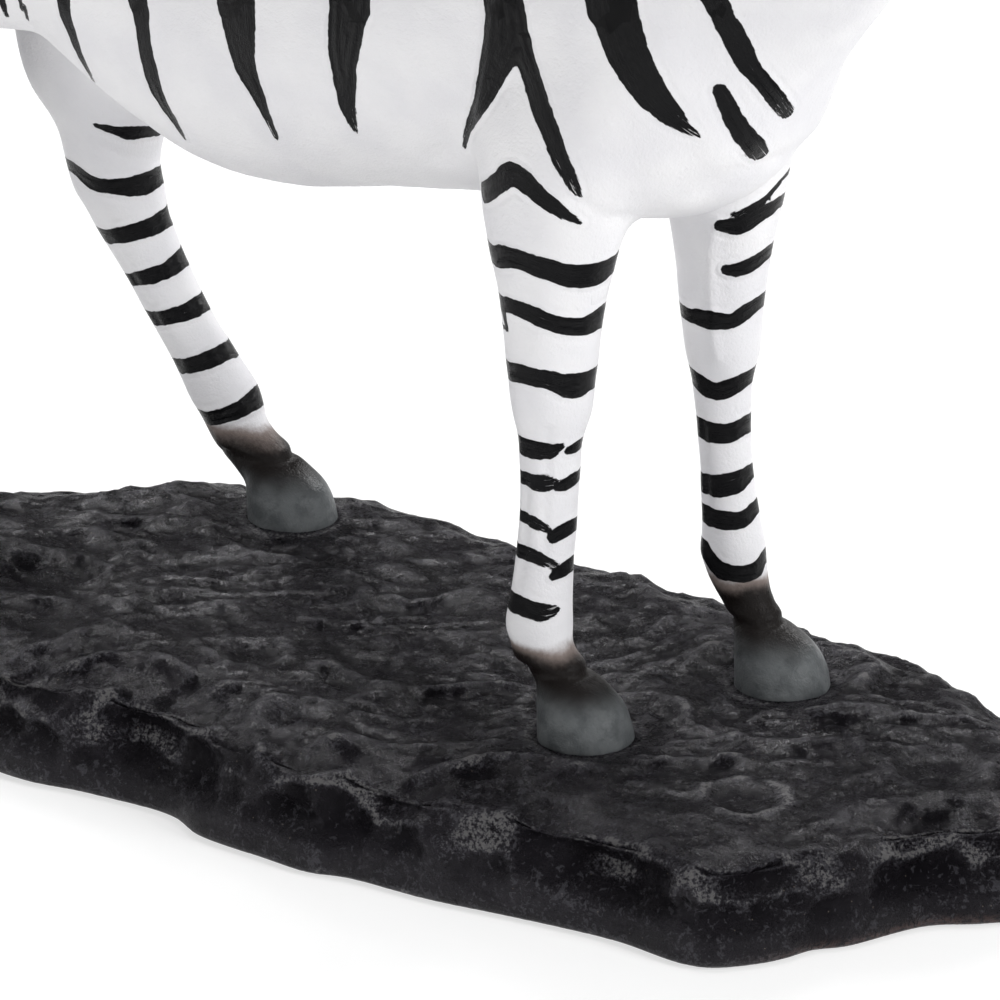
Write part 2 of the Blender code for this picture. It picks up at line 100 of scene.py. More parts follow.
lens = bpy.data.cameras.new("camera")
lens.sensor_width = 36
lens.lens = LENS_PIXELS / PICTURE_PIXELS * lens.sensor_width
lens.clip_end = 20
camera = placed("camera", lens)
camera.location = DRAWING_ORIGIN + Vector(CAMERA_PLACE) * MILLIMETRE
camera.rotation_euler = (math.pi / 2 - CAMERA_UP, 0, CAMERA_ROUND)
bpy.context.scene.camera = camera
print("lens", round(lens.lens), "mm")

# %% [markdown]
# ## Tools for drawing smooth forms
#
# A sculptor builds an animal from simple masses and then blends them. The functions below make one
# mass: a skin lofted over oval rings, with a smooth curve run through the few rings that are drawn.

# %%
RING_SIDES = 40
CURVE_STEPS = 6


def eased(share):
    """0 below 0, 1 above 1, and a smooth step between them."""
    share = np.clip(share, 0.0, 1.0)
    return share * share * (3 - 2 * share)


def hump(distance, width):
    """A rounded bump: 1 in the middle, fading out at about twice its width."""
    return np.exp(-((distance / width) ** 2))


def curve_through(rows, steps=CURVE_STEPS):
    """The rows with more between them, on a smooth curve through them."""
    rows = [np.array(row, float) for row in rows]
    rows = [2 * rows[0] - rows[1]] + rows + [2 * rows[-1] - rows[-2]]
    found = []
    for a, b, c, d in zip(rows, rows[1:], rows[2:], rows[3:]):
        for t in np.arange(steps) / steps:
            bend = (2 * a - 5 * b + 4 * c - d) * t ** 2 + (3 * b - a - 3 * c + d) * t ** 3
            found.append(0.5 * (2 * b + (c - a) * t + bend))
    return found + [rows[-2]]


def loft(bm, rings):
    """A closed skin over rings that have the same count of points."""
    rings = [[bm.verts.new(point) for point in ring] for ring in rings]
    for lower, upper in zip(rings, rings[1:]):
        for i in range(len(lower)):
            j = (i + 1) % len(lower)
            bm.faces.new((lower[i], lower[j], upper[j], upper[i]))
    bm.faces.new(rings[0][::-1])
    bm.faces.new(rings[-1])


def oval(upper, lower, half_width, side=0.0, egg=0.0):
    """A ring round the line from upper to lower, both (forward, up)."""
    middle = (np.array(upper) + np.array(lower)) / 2
    reach = (np.array(upper) - np.array(lower)) / 2
    angle = np.arange(RING_SIDES) * 2 * math.pi / RING_SIDES
    forward_up = middle + np.outer(np.cos(angle), reach)
    out = side + half_width * np.sin(angle) * (1 + egg * np.cos(angle))
    return np.stack([forward_up[:, 0], out, forward_up[:, 1]], axis=1)


def across_line(points):
    """At each (forward, up) point of a line, the unit vector square to the line."""
    ways = np.gradient(np.array(points), axis=0)
    ways /= np.linalg.norm(ways, axis=1, keepdims=True)
    return np.stack([-ways[:, 1], ways[:, 0]], axis=1)


def ellipsoid(bm, centre, radii, slope=0.0):
    """An ellipsoid, its long axes tipped by slope about the side axis."""
    place = Matrix.Translation(centre) @ Matrix.Rotation(-slope, 4, "Y")
    size = Matrix.Diagonal((*radii, 1.0))
    bmesh.ops.create_uvsphere(bm, u_segments=32, v_segments=20, radius=1.0, matrix=place @ size)

# %% [markdown]
# ## The masses of the zebra
#
# Trunk, neck and head are drawn as rings in side view. The belly, the breast and the legs follow the
# picture. The head, the crest, the rump and the tail lie outside it, and follow a plains zebra: a
# big head, a short neck with an upright mane, and a round barrel.

# %%
TRUNK = (  # (forward, top, bottom, half width)
    (32, 130, 118, 5), (28, 140, 108, 12), (22, 149, 97.5, 18), (14, 157, 90.5, 22.5),
    (4, 165, 86, 25), (-10, 170, 84.5, 26.5), (-28, 168.5, 83.2, 27.5), (-48, 163, 80, 29),
    (-68, 160.5, 75.6, 30), (-88, 161, 74, 30), (-104, 163, 77.8, 29.3), (-120, 165.5, 85.5, 28.4),
    (-136, 165, 94, 27), (-149, 161, 104, 24), (-159, 153, 115, 18), (-166, 142, 126, 8),
)
TRUNK_EGG = -0.1
NECK = (  # (crest forward, crest up, throat forward, throat up, half width)
    (-46, 160, -4, 92, 24), (-30, 166, 10, 96, 23.5), (-15, 170.5, 24.5, 104.5, 21.5),
    (0, 177.5, 34.5, 118.5, 18.5), (20, 187.5, 47, 135, 15.5), (40, 199, 57, 152, 13.3),
    (58, 209, 64.5, 167, 11.8), (74, 216, 69, 181, 10.5),
)
NECK_EGG = -0.18
POLL = (74, 216)
FACE_SLOPE = math.radians(-40)
FACE_WAY = (math.cos(FACE_SLOPE), math.sin(FACE_SLOPE))
HEAD = (  # along the face: (along, brow above it, jaw above it, half width)
    (-6, -6, -22, 6.5), (0, -1, -29, 9), (8, 2, -32.5, 11), (16, 3, -33.5, 12),
    (25, 2.6, -31.5, 11.8), (34, 1.8, -27.5, 10.4), (43, 1, -23.8, 9), (52, 0.4, -21.4, 8.2),
    (60, 0.4, -20.6, 8.5), (66, -1.2, -19.4, 8.2), (70.5, -5, -16, 5.6),
)
HEAD_EGG = 0.06
HEAD_FORMS = (  # on both sides: (along, out, above the face, radii along, out and above)
    (17, 7.6, -19, 11, 5.4, 12), (25, 8.2, -5.6, 4.4, 3.5, 3.4), (20, 6, -2, 8, 4.6, 3),
    (63, 4.8, -6.6, 4.4, 3.8, 4.8), (61, 2, -18.2, 5.6, 4, 3.6),
)
EAR_BASE = (1.5, 6.4, -1)
EAR_WAY = (-0.2, 0.32, 1)
EAR_ACROSS = (0.35, 1, 0)
EAR_RINGS = (  # (along, half width, half depth)
    (-4, 2.6, 2.8), (1, 3.5, 3.2), (6, 4.8, 3.4), (11, 5.4, 3), (15, 4.9, 2.5), (18.5, 3.4, 1.9),
    (20.9, 0.8, 0.7),
)
EAR_HOLLOW = 1.25
EAR_HOLLOW_START = 6
MANE = (  # (forward, up, height, half width)
    (83, 209, 1, 1.6), (79, 213.5, 7, 2.3), (71, 216, 11, 2.7), (60, 210, 12.6, 3),
    (42, 199.5, 13, 3.2), (22, 188, 12.4, 3.2), (4, 178.5, 10.4, 3), (-10, 171.5, 6.5, 2.6),
    (-24, 168, 1, 1.6),
)
MANE_ROOT = 5
TAIL = (  # (forward, up, half depth, half width)
    (-154, 156, 4, 5), (-163, 149, 4.4, 5), (-168.5, 139, 4, 4.3), (-170.5, 126, 3.4, 3.6),
    (-170, 112, 3.4, 3.6), (-168, 100, 4.2, 4.6), (-165, 88, 5.2, 5.8), (-162.5, 76, 4.8, 5.4),
    (-161, 66, 3, 3.4), (-160.5, 62, 1.2, 1.4),
)
SWELLS = (  # muscles on both sides: (forward, side, up, radii forward, side and up)
    (0, 13, 121, 23.5, 13.4, 32), (-9, 18.5, 101, 13, 9.5, 15), (8, 10, 106, 12, 9, 16),
    (-136, 15, 124, 27, 13.5, 32),
)


def on_face(along, above):
    """The (forward, up) place of a point given along and above the line of the face."""
    cosine, sine = FACE_WAY
    return POLL[0] + along * cosine - above * sine, POLL[1] + along * sine + above * cosine


def add_body(bm):
    trunk = [
        oval((forward, top), (forward, bottom), half_width, egg=TRUNK_EGG)
        for forward, top, bottom, half_width in curve_through(TRUNK)
    ]
    loft(bm, trunk)
    loft(bm, [oval(row[0:2], row[2:4], row[4], egg=NECK_EGG) for row in curve_through(NECK)])
    for forward, side, up, *radii in SWELLS:
        for hand in (-1, 1):
            ellipsoid(bm, (forward, hand * side, up), radii)


def add_head(bm):
    rings = [
        oval(on_face(along, brow), on_face(along, jaw), half_width, egg=HEAD_EGG)
        for along, brow, jaw, half_width in curve_through(HEAD)
    ]
    loft(bm, rings)
    for along, out, above, *radii in HEAD_FORMS:
        forward, up = on_face(along, above)
        for hand in (-1, 1):
            ellipsoid(bm, (forward, hand * out, up), radii, FACE_SLOPE)


def add_ear(bm, hand):
    """A rounded ear on one side, hollow towards the front."""
    along, out, above = EAR_BASE
    forward, up = on_face(along, above)
    base = Vector((forward, hand * out, up))
    way = Vector((EAR_WAY[0], hand * EAR_WAY[1], EAR_WAY[2])).normalized()
    broad = Vector((EAR_ACROSS[0], hand * EAR_ACROSS[1], EAR_ACROSS[2])).cross(way).cross(way)
    broad.normalize()
    deep = way.cross(broad).normalized()
    if deep.x < 0:
        deep = -deep
    rings = []
    for distance, half_width, half_depth in curve_through(EAR_RINGS):
        hollow = EAR_HOLLOW * min(1.0, max(0.0, distance / EAR_HOLLOW_START))
        ring = []
        for step in range(RING_SIDES):
            angle = 2 * math.pi * step / RING_SIDES
            scoop = hollow * max(0.0, math.cos(angle)) ** 3
            point = base + way * distance + broad * half_width * math.sin(angle)
            ring.append(point + deep * half_depth * (math.cos(angle) - scoop))
        rings.append(ring)
    loft(bm, rings)


def add_mane(bm):
    rows = curve_through(MANE)
    rings = []
    for (forward, up, height, half_width), square in zip(rows, across_line([r[0:2] for r in rows])):
        out = square if square[1] > 0 else -square
        crest = np.array((forward, up))
        rings.append(oval(crest + out * height, crest - out * MANE_ROOT, half_width))
    loft(bm, rings)


def add_tail(bm):
    rows = curve_through(TAIL)
    rings = []
    for (forward, up, half_depth, half_width), square in zip(rows, across_line([r[0:2] for r in rows])):
        middle = np.array((forward, up))
        rings.append(oval(middle + square * half_depth, middle - square * half_depth, half_width))
    loft(bm, rings)

# %% [markdown]
# ## Legs and hooves
#
# Each leg is drawn as a centre line with the girth of its kind: broad at the elbow or stifle, a firm
# knee or hock, a slim cannon, the ball of the fetlock and the slanting pastern. The three legs in the
# picture were measured on it. A hoof is a low dome that opens towards the toe.

# %%
GIRTHS = {  # (place along the leg, half depth, half width)
    "fore": (
        (-0.6, 19, 8.5), (-0.3, 18, 9.6), (0, 15.6, 10), (0.35, 12.1, 8.8), (0.5, 10.2, 7.8),
        (0.64, 9, 7.3), (0.8, 8.1, 7), (1, 6.8, 6.4), (1.13, 5.8, 5.5), (1.28, 5.2, 4.8),
        (1.5, 5.05, 4.5), (1.72, 5.3, 4.6), (1.9, 5.7, 4.9), (2.02, 6, 5.1), (2.4, 5.1, 4.7),
        (2.75, 4.2, 4), (3, 4.5, 4.3), (3.6, 4.4, 4.2),
    ),
    "hind": (
        (-0.3, 22, 11), (0, 24, 13), (0.5, 23, 13.5), (1, 20.5, 13.4), (1.25, 19, 13),
        (1.45, 17, 12.2), (1.58, 14, 10.9), (1.68, 11.6, 9.7), (1.78, 9.7, 8.8), (1.9, 9, 8.1),
        (2, 8.7, 7.6), (2.14, 7.5, 6.9), (2.3, 6.4, 6), (2.5, 5.6, 5.3), (2.7, 5.4, 5),
        (2.88, 5.9, 5.4), (3, 6.3, 5.7), (3.3, 5.7, 5.3), (3.65, 4.8, 4.8), (4, 5, 5.2),
        (4.6, 4.6, 4.8),
    ),
}
KNEE_PLACE = {"fore": 1, "hind": 2}
TILT_START = -0.4
TILT_SPAN = 0.5
POINT_OF_HOCK = (-5.6, 3.5, 4.2)
SLIMNESS = {"right_fore": 1, "left_fore": 0.96, "left_hind": 1, "right_hind": 0.94}
LEGS = {  # the kind, and the centre line as (place, forward, side, up)
    "right_fore": ("fore", (
        (-0.6, 3, -17, 122), (0, -6, -18.5, 98), (0.5, -7.4, -19, 77.5), (1, -7.6, -19, 57),
        (1.5, -8.2, -19, 37), (2, -9.8, -19, 17.5), (2.4, -9, -19, 13.6), (3, -5.2, -19, 9.6),
        (3.6, -3.4, -19, 5))),
    "left_fore": ("fore", (
        (-0.6, 6, 17, 122), (0, -2.4, 18.5, 98), (0.5, -3, 19, 78), (1, -2.9, 19, 57.5),
        (1.5, -1.8, 19, 38), (2, 0.4, 19, 21.5), (2.4, 2, 19, 16.5), (3, 5.6, 19, 10),
        (3.6, 7.4, 19, 5))),
    "left_hind": ("hind", (
        (-0.3, -139, 13, 142), (0, -139, 14, 130), (0.5, -140, 15, 112), (1, -142, 16, 94),
        (1.48, -143.2, 16.5, 74.5), (1.72, -141.6, 17, 66), (2, -140.7, 17, 55.5),
        (2.5, -129.5, 17, 38.4), (3, -114.6, 17, 20.6), (3.4, -111.6, 17, 15),
        (4, -105, 17, 10.2), (4.6, -102, 17, 6))),
    "right_hind": ("hind", (
        (-0.3, -139, -13, 142), (0, -142, -14, 130), (0.5, -149, -15.5, 113), (1, -156, -16.5, 97),
        (1.5, -159, -18.5, 77), (2, -161.5, -19.5, 58), (2.5, -163, -20, 38),
        (3, -164.5, -20, 18.5), (3.4, -163.5, -20, 14), (4, -159.2, -20, 9.6), (4.6, -157, -20, 5))),
}
HOOVES = {
    "right_fore": (0, -19), "left_fore": (11, 19),
    "left_hind": (-99, 17), "right_hind": (-154.5, -20),
}
HOOF_PROFILE = (  # (height, radius, radii further back), as shares of the hoof's own sizes
    (0, 1, 0), (0.3, 0.965, 0.04), (0.58, 0.88, 0.15), (0.8, 0.74, 0.34), (0.94, 0.6, 0.52),
    (1, 0.47, 0.63),
)
HOOF_RADIUS = 8.6
HOOF_HEIGHT = 10.4
HOOF_NARROWNESS = 0.96
HEEL_FLATNESS = 0.1
SEAT_DEPTH = 1.4
ROCK_RISE = 0.015


def rock_level(forward):
    """Height of the rock's top before it is sculpted."""
    return np.maximum(0.0, -forward) * ROCK_RISE


def leg_line(name):
    """The leg's smooth centre line with its girth: (place, forward, side, up, half depth, half width)."""
    kind, line = LEGS[name]
    places, depths, widths = zip(*GIRTHS[kind])
    rows = np.array(curve_through(line))
    depth = np.interp(rows[:, 0], places, depths) * SLIMNESS[name]
    width = np.interp(rows[:, 0], places, widths) * SLIMNESS[name]
    return np.column_stack([rows, depth, width])


def leg_middle(name, height):
    """(forward, side) of the leg's centre line at that height, or at each of those heights."""
    line = leg_line(name)[::-1]
    return (np.interp(height, line[:, 3], line[:, axis]) for axis in (1, 2))


def add_leg(bm, name):
    kind = LEGS[name][0]
    joint = KNEE_PLACE[kind]
    rows = leg_line(name)
    rings = []
    for row, square in zip(rows, across_line(rows[:, [1, 3]])):
        place, forward, side, up, half_depth, half_width = row
        tilt = eased((place - joint - TILT_START) / TILT_SPAN)
        square = square * tilt + np.array((math.copysign(1, square[0]), 0)) * (1 - tilt)
        middle = np.array((forward, up))
        upper, lower = middle + square * half_depth, middle - square * half_depth
        rings.append(oval(upper, lower, half_width, side=side))
    loft(bm, rings)
    if kind == "hind":
        forward, above, radius = POINT_OF_HOCK
        hock = next(row[1:] for row in LEGS[name][1] if row[0] == joint)
        ellipsoid(bm, (hock[0] + forward, hock[1], hock[2] + above), (radius,) * 3)


def add_hoof(bm, name):
    forward, side = HOOVES[name]
    ground = rock_level(forward)
    angle = np.arange(RING_SIDES) * 2 * math.pi / RING_SIDES
    heel = 1 - HEEL_FLATNESS * np.maximum(0.0, -np.cos(angle))
    rings = []
    for height, share, back in curve_through(HOOF_PROFILE, 3):
        radius = HOOF_RADIUS * share
        up = ground - SEAT_DEPTH + (HOOF_HEIGHT + SEAT_DEPTH) * height
        x = forward + radius * heel * np.cos(angle) - HOOF_RADIUS * back
        y = side + HOOF_NARROWNESS * radius * np.sin(angle)
        rings.append(np.stack([x, y, np.full_like(x, up)], axis=1))
    loft(bm, rings)


forms = bmesh.new()
add_body(forms)
add_head(forms)
for ear_side in (-1, 1):
    add_ear(forms, ear_side)
add_mane(forms)
add_tail(forms)
for leg_name in LEGS:
    add_leg(forms, leg_name)
    add_hoof(forms, leg_name)
bmesh.ops.recalc_face_normals(forms, faces=forms.faces)
print("the masses have", len(forms.faces), "faces")

# %% [markdown]
# ## One skin, blended by the thumb
#
# The real animal was modelled in clay, and the masses run into each other. Here a fine grid of cells
# joins them into one closed skin, which is then relaxed: much on the body, where the muscles should
# melt together, and little at the ears, mane, tail and hooves, which stay crisp.

# %%
SKIN_CELL = 0.74
SOFTEN_ROUNDS = 70
CREST_WAY = (0.876, 0.482)  # direction of the crest, forward and up
MANE_ENDS = (-26, 86)
MANE_HALF_WIDTH = 6
TAIL_ROOT = (-148, 150)  # the tail lies behind and below this point, (forward, up)
MASK_EDGE = 1.6  # millimetres over which a mask fades


def applied(holder):
    """The mesh of an object after its modifier. The object and the mesh it had are used up."""
    bpy.context.view_layer.update()
    made = bpy.data.meshes.new_from_object(holder.evaluated_get(bpy.context.evaluated_depsgraph_get()))
    bpy.data.meshes.remove(holder.data)
    return made


def remeshed(bm, cell):
    """One closed skin round everything in the mesh, from a grid of cells."""
    mesh = bpy.data.meshes.new("forms")
    bm.to_mesh(mesh)
    bm.free()
    holder = placed("forms", mesh)
    skin = holder.modifiers.new("skin", "REMESH")
    skin.mode = "VOXEL"
    skin.voxel_size = cell
    return applied(holder)


def read_points(mesh, what="co"):
    values = np.empty(len(mesh.vertices) * 3, np.float32)
    mesh.vertices.foreach_get(what, values)
    return values.reshape(-1, 3).astype(float)


def write_points(mesh, points):
    mesh.vertices.foreach_set("co", np.asarray(points, np.float32).ravel())
    mesh.update()


def read_edges(mesh):
    values = np.empty(len(mesh.edges) * 2, np.int32)
    mesh.edges.foreach_get("vertices", values)
    return values.reshape(-1, 2)


def neighbour_mean(values, edges):
    """At each corner of the mesh, the mean of the values at the corners joined to it."""
    first, second = edges.T
    count = len(values)
    joined = np.bincount(first, minlength=count) + np.bincount(second, minlength=count)
    total = np.stack([
        np.bincount(first, values[second, axis], count) + np.bincount(second, values[first, axis], count)
        for axis in range(values.shape[1])
    ], axis=1)
    return total / np.maximum(joined, 1)[:, None]


def relax(points, edges, softness, rounds):
    for _ in range(rounds):
        points = points + 0.5 * softness[:, None] * (neighbour_mean(points, edges) - points)
    return points


def wavering(points, span, seed):
    """Smooth noise between -1 and 1 at each point, with features about span apart."""
    shift = Vector((seed * 17.3, seed * 5.1, seed * 9.7))
    return np.array([noise.noise(Vector(row) + shift) for row in (points / span).tolist()])


def from_post(points, forward, side):
    """How far each point lies from an upright line."""
    return np.hypot(points[:, 0] - forward, points[:, 1] - side)


def above_crest(points):
    """How high each point lies over the line that the mane grows from."""
    rows = np.array(MANE[::-1])
    crest = np.interp(points[:, 0], rows[:, 0], rows[:, 1])
    return (points[:, 2] - crest) * CREST_WAY[0]


def mane_mask(points):
    forward, side, _ = points.T
    near = (forward > MANE_ENDS[0]) & (forward < MANE_ENDS[1]) & (np.abs(side) < MANE_HALF_WIDTH)
    return near * eased((above_crest(points) - 0.2) / MASK_EDGE)


def tail_middle(points):
    rows = np.array(TAIL[::-1])
    return np.interp(points[:, 2], rows[:, 1], rows[:, 0]), np.interp(points[:, 2], rows[:, 1], rows[:, 3])


def tail_mask(points):
    middle, half_width = tail_middle(points)
    away = from_post(points, middle, 0)
    behind = (points[:, 2] < TAIL_ROOT[1]) * (points[:, 0] < TAIL_ROOT[0])
    return behind * (1 - eased((away - half_width) / MASK_EDGE))


def softness_of(points):
    """How much each point is relaxed, from 0 to 1."""
    forward, _, up = points.T
    soft = 0.22 + 0.78 * eased((up - 58) / 34)
    face = eased((forward - 64) / 14) * eased((up - 165) / 12)
    soft = soft * (1 - 0.72 * face)
    soft = soft * (1 - 0.75 * eased((up - 216) / 5))
    soft = soft * (1 - 0.85 * mane_mask(points))
    soft = soft * (1 - 0.8 * tail_mask(points))
    return soft * (1 - 0.6 * eased((10 - up) / 6))


skin = remeshed(forms, SKIN_CELL)
points = read_points(skin)
skin_edges = read_edges(skin)
points = relax(points, skin_edges, softness_of(points), SOFTEN_ROUNDS)
write_points(skin, points)
print("the skin has", len(points), "corners")

# %% [markdown]
# ## Carving
#
# Finer forms are cut into the skin along its normals: eyes with lids, nostrils and lips, the hair of
# mane and tail, the hollow beside the tendons of each leg, rings on the hooves, and the slight
# unevenness of a thing modelled by hand.

# %%
EYE = (25.5, -5.8)  # along and above the face
EYE_RADIUS = 2.5
EYE_LENGTH = 1.3  # how much longer than high it is
NOSTRIL = (66.5, -7)
MOUTH = ((57, 64, 69, 73), (-15.8, -14.6, -13.4, -12.2))


def face_places(points):
    """(along, out, above) of each point relative to the line of the face."""
    cosine, sine = FACE_WAY
    forward, up = points[:, 0] - POLL[0], points[:, 2] - POLL[1]
    return forward * cosine + up * sine, np.abs(points[:, 1]), up * cosine - forward * sine


def from_eye(along, above):
    """How far each point lies from the middle of the eye, in side view."""
    return np.hypot((along - EYE[0]) / EYE_LENGTH, above - EYE[1])


def carve_head(points):
    along, out, above = face_places(points)
    on_head = eased((points[:, 0] - 66) / 6) * (above < 6)
    eye = from_eye(along, above)
    eyeball = np.sqrt(np.maximum(0, 1 - (eye / EYE_RADIUS) ** 2))
    cut = (out > 6) * (0.75 * eyeball + 0.6 * hump(eye - 3.1, 0.6) - 0.55 * hump(eye - 4.5, 0.9))
    nostril = np.hypot((along - NOSTRIL[0]) / 1.25, (above - NOSTRIL[1]) / 0.9)
    cut = cut + (out > 2.5) * (0.5 * hump(nostril - 2.2, 0.7) - 1.5 * hump(nostril, 1.2))
    lips = above - np.interp(along, *MOUTH)
    cut = cut + (along > 57) * (0.25 * hump(np.abs(lips) - 1.3, 0.7) - 0.75 * hump(lips, 0.5))
    cheek = np.hypot((along - 17) / 12, (above + 20) / 12)
    cut = cut - 0.5 * (out > 6) * hump(cheek - 1.0, 0.12)
    return cut * on_head


def carve_hair(points):
    forward, side, up = points.T
    along_crest = forward * CREST_WAY[0] + up * CREST_WAY[1]
    strand = along_crest + 0.9 * wavering(points, 7, 1) + 0.05 * above_crest(points) * side
    mane = mane_mask(points) * (-0.55 * np.abs(np.sin(strand * 1.25)) + 0.25)
    middle, _ = tail_middle(points)
    turn = np.arctan2(side, forward - middle)
    tuft = eased((118 - up) / 20)
    hair = np.abs(np.sin(4.5 * turn + up / 6 + 0.8 * wavering(points, 6, 2)))
    tail = tail_mask(points) * (-0.12 - 0.55 * tuft) * hair
    return mane + tail


def carve_legs(points):
    cut = np.zeros(len(points))
    for name, (kind, _) in LEGS.items():
        rows = leg_line(name)[::-1]
        place, forward, side, depth, width = (np.interp(points[:, 2], rows[:, 3], rows[:, i])
                                              for i in (0, 1, 2, 4, 5))
        ahead = (points[:, 0] - forward) / depth
        out = (points[:, 1] - side) / width
        near = (np.hypot(ahead, out) < 1.7) & (points[:, 2] < 92)
        knee = KNEE_PLACE[kind]
        cannon = eased((place - knee - 0.18) / 0.2) * eased((knee + 0.9 - place) / 0.2)
        tendon = -0.42 * hump(ahead + 0.28, 0.2) + 0.16 * hump(ahead - 0.2, 0.3)
        knob = 0.3 * hump(place - knee - 0.02, 0.1) * hump(ahead - 0.9, 0.5)
        pit = -0.3 * hump(place - knee - 0.16, 0.07) * hump(np.abs(out) - 0.9, 0.5)
        ball = 0.3 * hump(place - knee - 1.02, 0.09) * hump(ahead + 0.8, 0.5)
        cut += near * (cannon * tendon * (np.abs(out) > 0.5) + knob + pit + ball)
    return cut


def hoof_places(points):
    """Each point's height over the ground of its nearest hoof, in hoof heights, and its distance."""
    best = np.full(len(points), 9.0)
    height = np.full(len(points), 9.0)
    for forward, side in HOOVES.values():
        away = np.hypot(points[:, 0] - forward + 2, points[:, 1] - side) / HOOF_RADIUS
        closer = away < best
        best = np.where(closer, away, best)
        height = np.where(closer, (points[:, 2] - rock_level(forward)) / HOOF_HEIGHT, height)
    return height, best


def carve_hooves(points):
    height, away = hoof_places(points)
    on_hoof = (away < 1.5) * (height < 1.4)
    uneven = 0.16 * wavering(points, 3.2, 3)
    return on_hoof * (uneven - 0.55 * hump(height - 1.0, 0.06) + 0.25 * hump(height - 1.13, 0.08))


def hand_work(points):
    soft = 0.32 * wavering(points, 17, 4) + 0.13 * wavering(points, 5.5, 5)
    return soft * (1 - 0.8 * eased((points[:, 0] - 70) / 10))


normals = read_points(skin, "normal")
carved = sum(cut(points) for cut in (carve_head, carve_hair, carve_legs, carve_hooves, hand_work))
points = points + normals * carved[:, None]
write_points(skin, points)
print("the carving reaches from", carved.min().round(2), "to", carved.max().round(2), "mm")

# %% [markdown]
# ## Folds seen in the picture
#
# A few folds are too plain in the picture to leave to chance: the rear edge of the shoulder, the
# crease where the near leg leaves the breast, the soft ridge of the breast muscle and the long edge
# down the far forearm. Each is a line of pixels cast onto the skin, and is pressed in or raised there
# on both sides of the animal.

# %%
FOLDS = (  # (how far it is raised, its width in millimetres, the line in pixels)
    (-0.75, 2.6, ((484, -20), (478, 20), (471, 70), (463, 110), (452, 138), (438, 158))),
    (0.5, 2.4, ((500, -20), (492, 20), (486, 60), (478, 105))),
    (-0.5, 1.3, ((580, 201), (592, 211), (606, 218), (622, 219))),
    (0.5, 2.6, ((666, 41), (680, 80), (694, 112), (706, 138), (716, 160))),
    (-0.4, 2.0, ((708, 190), (730, 176), (752, 168), (776, 160))),
    (0.5, 1.0, ((716, 222), (711, 250), (711, 290), (713, 330), (717, 356))),
    (-0.35, 0.8, ((548, 430), (546, 470), (545, 520), (544, 560))),
    (-0.4, 1.2, ((100, 148), (128, 158), (158, 160))),
    (0.45, 1.6, ((210, 352), (226, 380), (242, 408))),
)


def from_picture(across, down):
    """Where a pixel's sight line meets the skin, or nothing."""
    hit = skin_tree.ray_cast(Vector(CAMERA_PLACE), sight_line(across, down))[0]
    return None if hit is None else np.array(hit)


def beside(points, places, margin):
    """The numbers of the points in a box round the places that is wider by the margin."""
    inside = (points > places.min(0) - margin) & (points < places.max(0) + margin)
    return np.nonzero(inside.all(1))[0]


def distance_to_line(points, places, reach):
    """Each point's distance from a line through the places, or the reach where it is further."""
    away = np.full(len(points), reach)
    chosen = beside(points, places, reach)
    for start, end in zip(places, places[1:]):
        way = end - start
        share = np.clip((points[chosen] - start) @ way / max(way @ way, 1e-9), 0, 1)
        gap = np.linalg.norm(points[chosen] - start - share[:, None] * way, axis=1)
        away[chosen] = np.minimum(away[chosen], gap)
    return away


def tree_of(mesh, points):
    return BVHTree.FromPolygons(points.tolist(), [face.vertices[:] for face in mesh.polygons])


skin_tree = tree_of(skin, points)
pressed = np.zeros(len(points))
for raised_by, width, line in FOLDS:
    places = [from_picture(*row) for row in curve_through(line, 4)]
    places = np.array([place for place in places if place is not None])
    for hand in (1, -1):
        away = distance_to_line(points, places * (1, hand, 1), 3 * width)
        pressed += raised_by * hump(away, width)
points = points + read_points(skin, "normal") * pressed[:, None]
write_points(skin, points)
print("pressed in", len(FOLDS), "folds on each side")

# %% [markdown]
# ## Brush strokes
#
# Every stripe is one or two strokes of a loaded brush. Those in the picture are given as they look
# there: points along the middle of the stroke and half its breadth, in pixels. A sight line through
# each point finds where it falls on the skin. The bands of the legs close behind the leg, where the
# picture doesn't reach. The rest is drawn in side view after real zebras, on both sides.

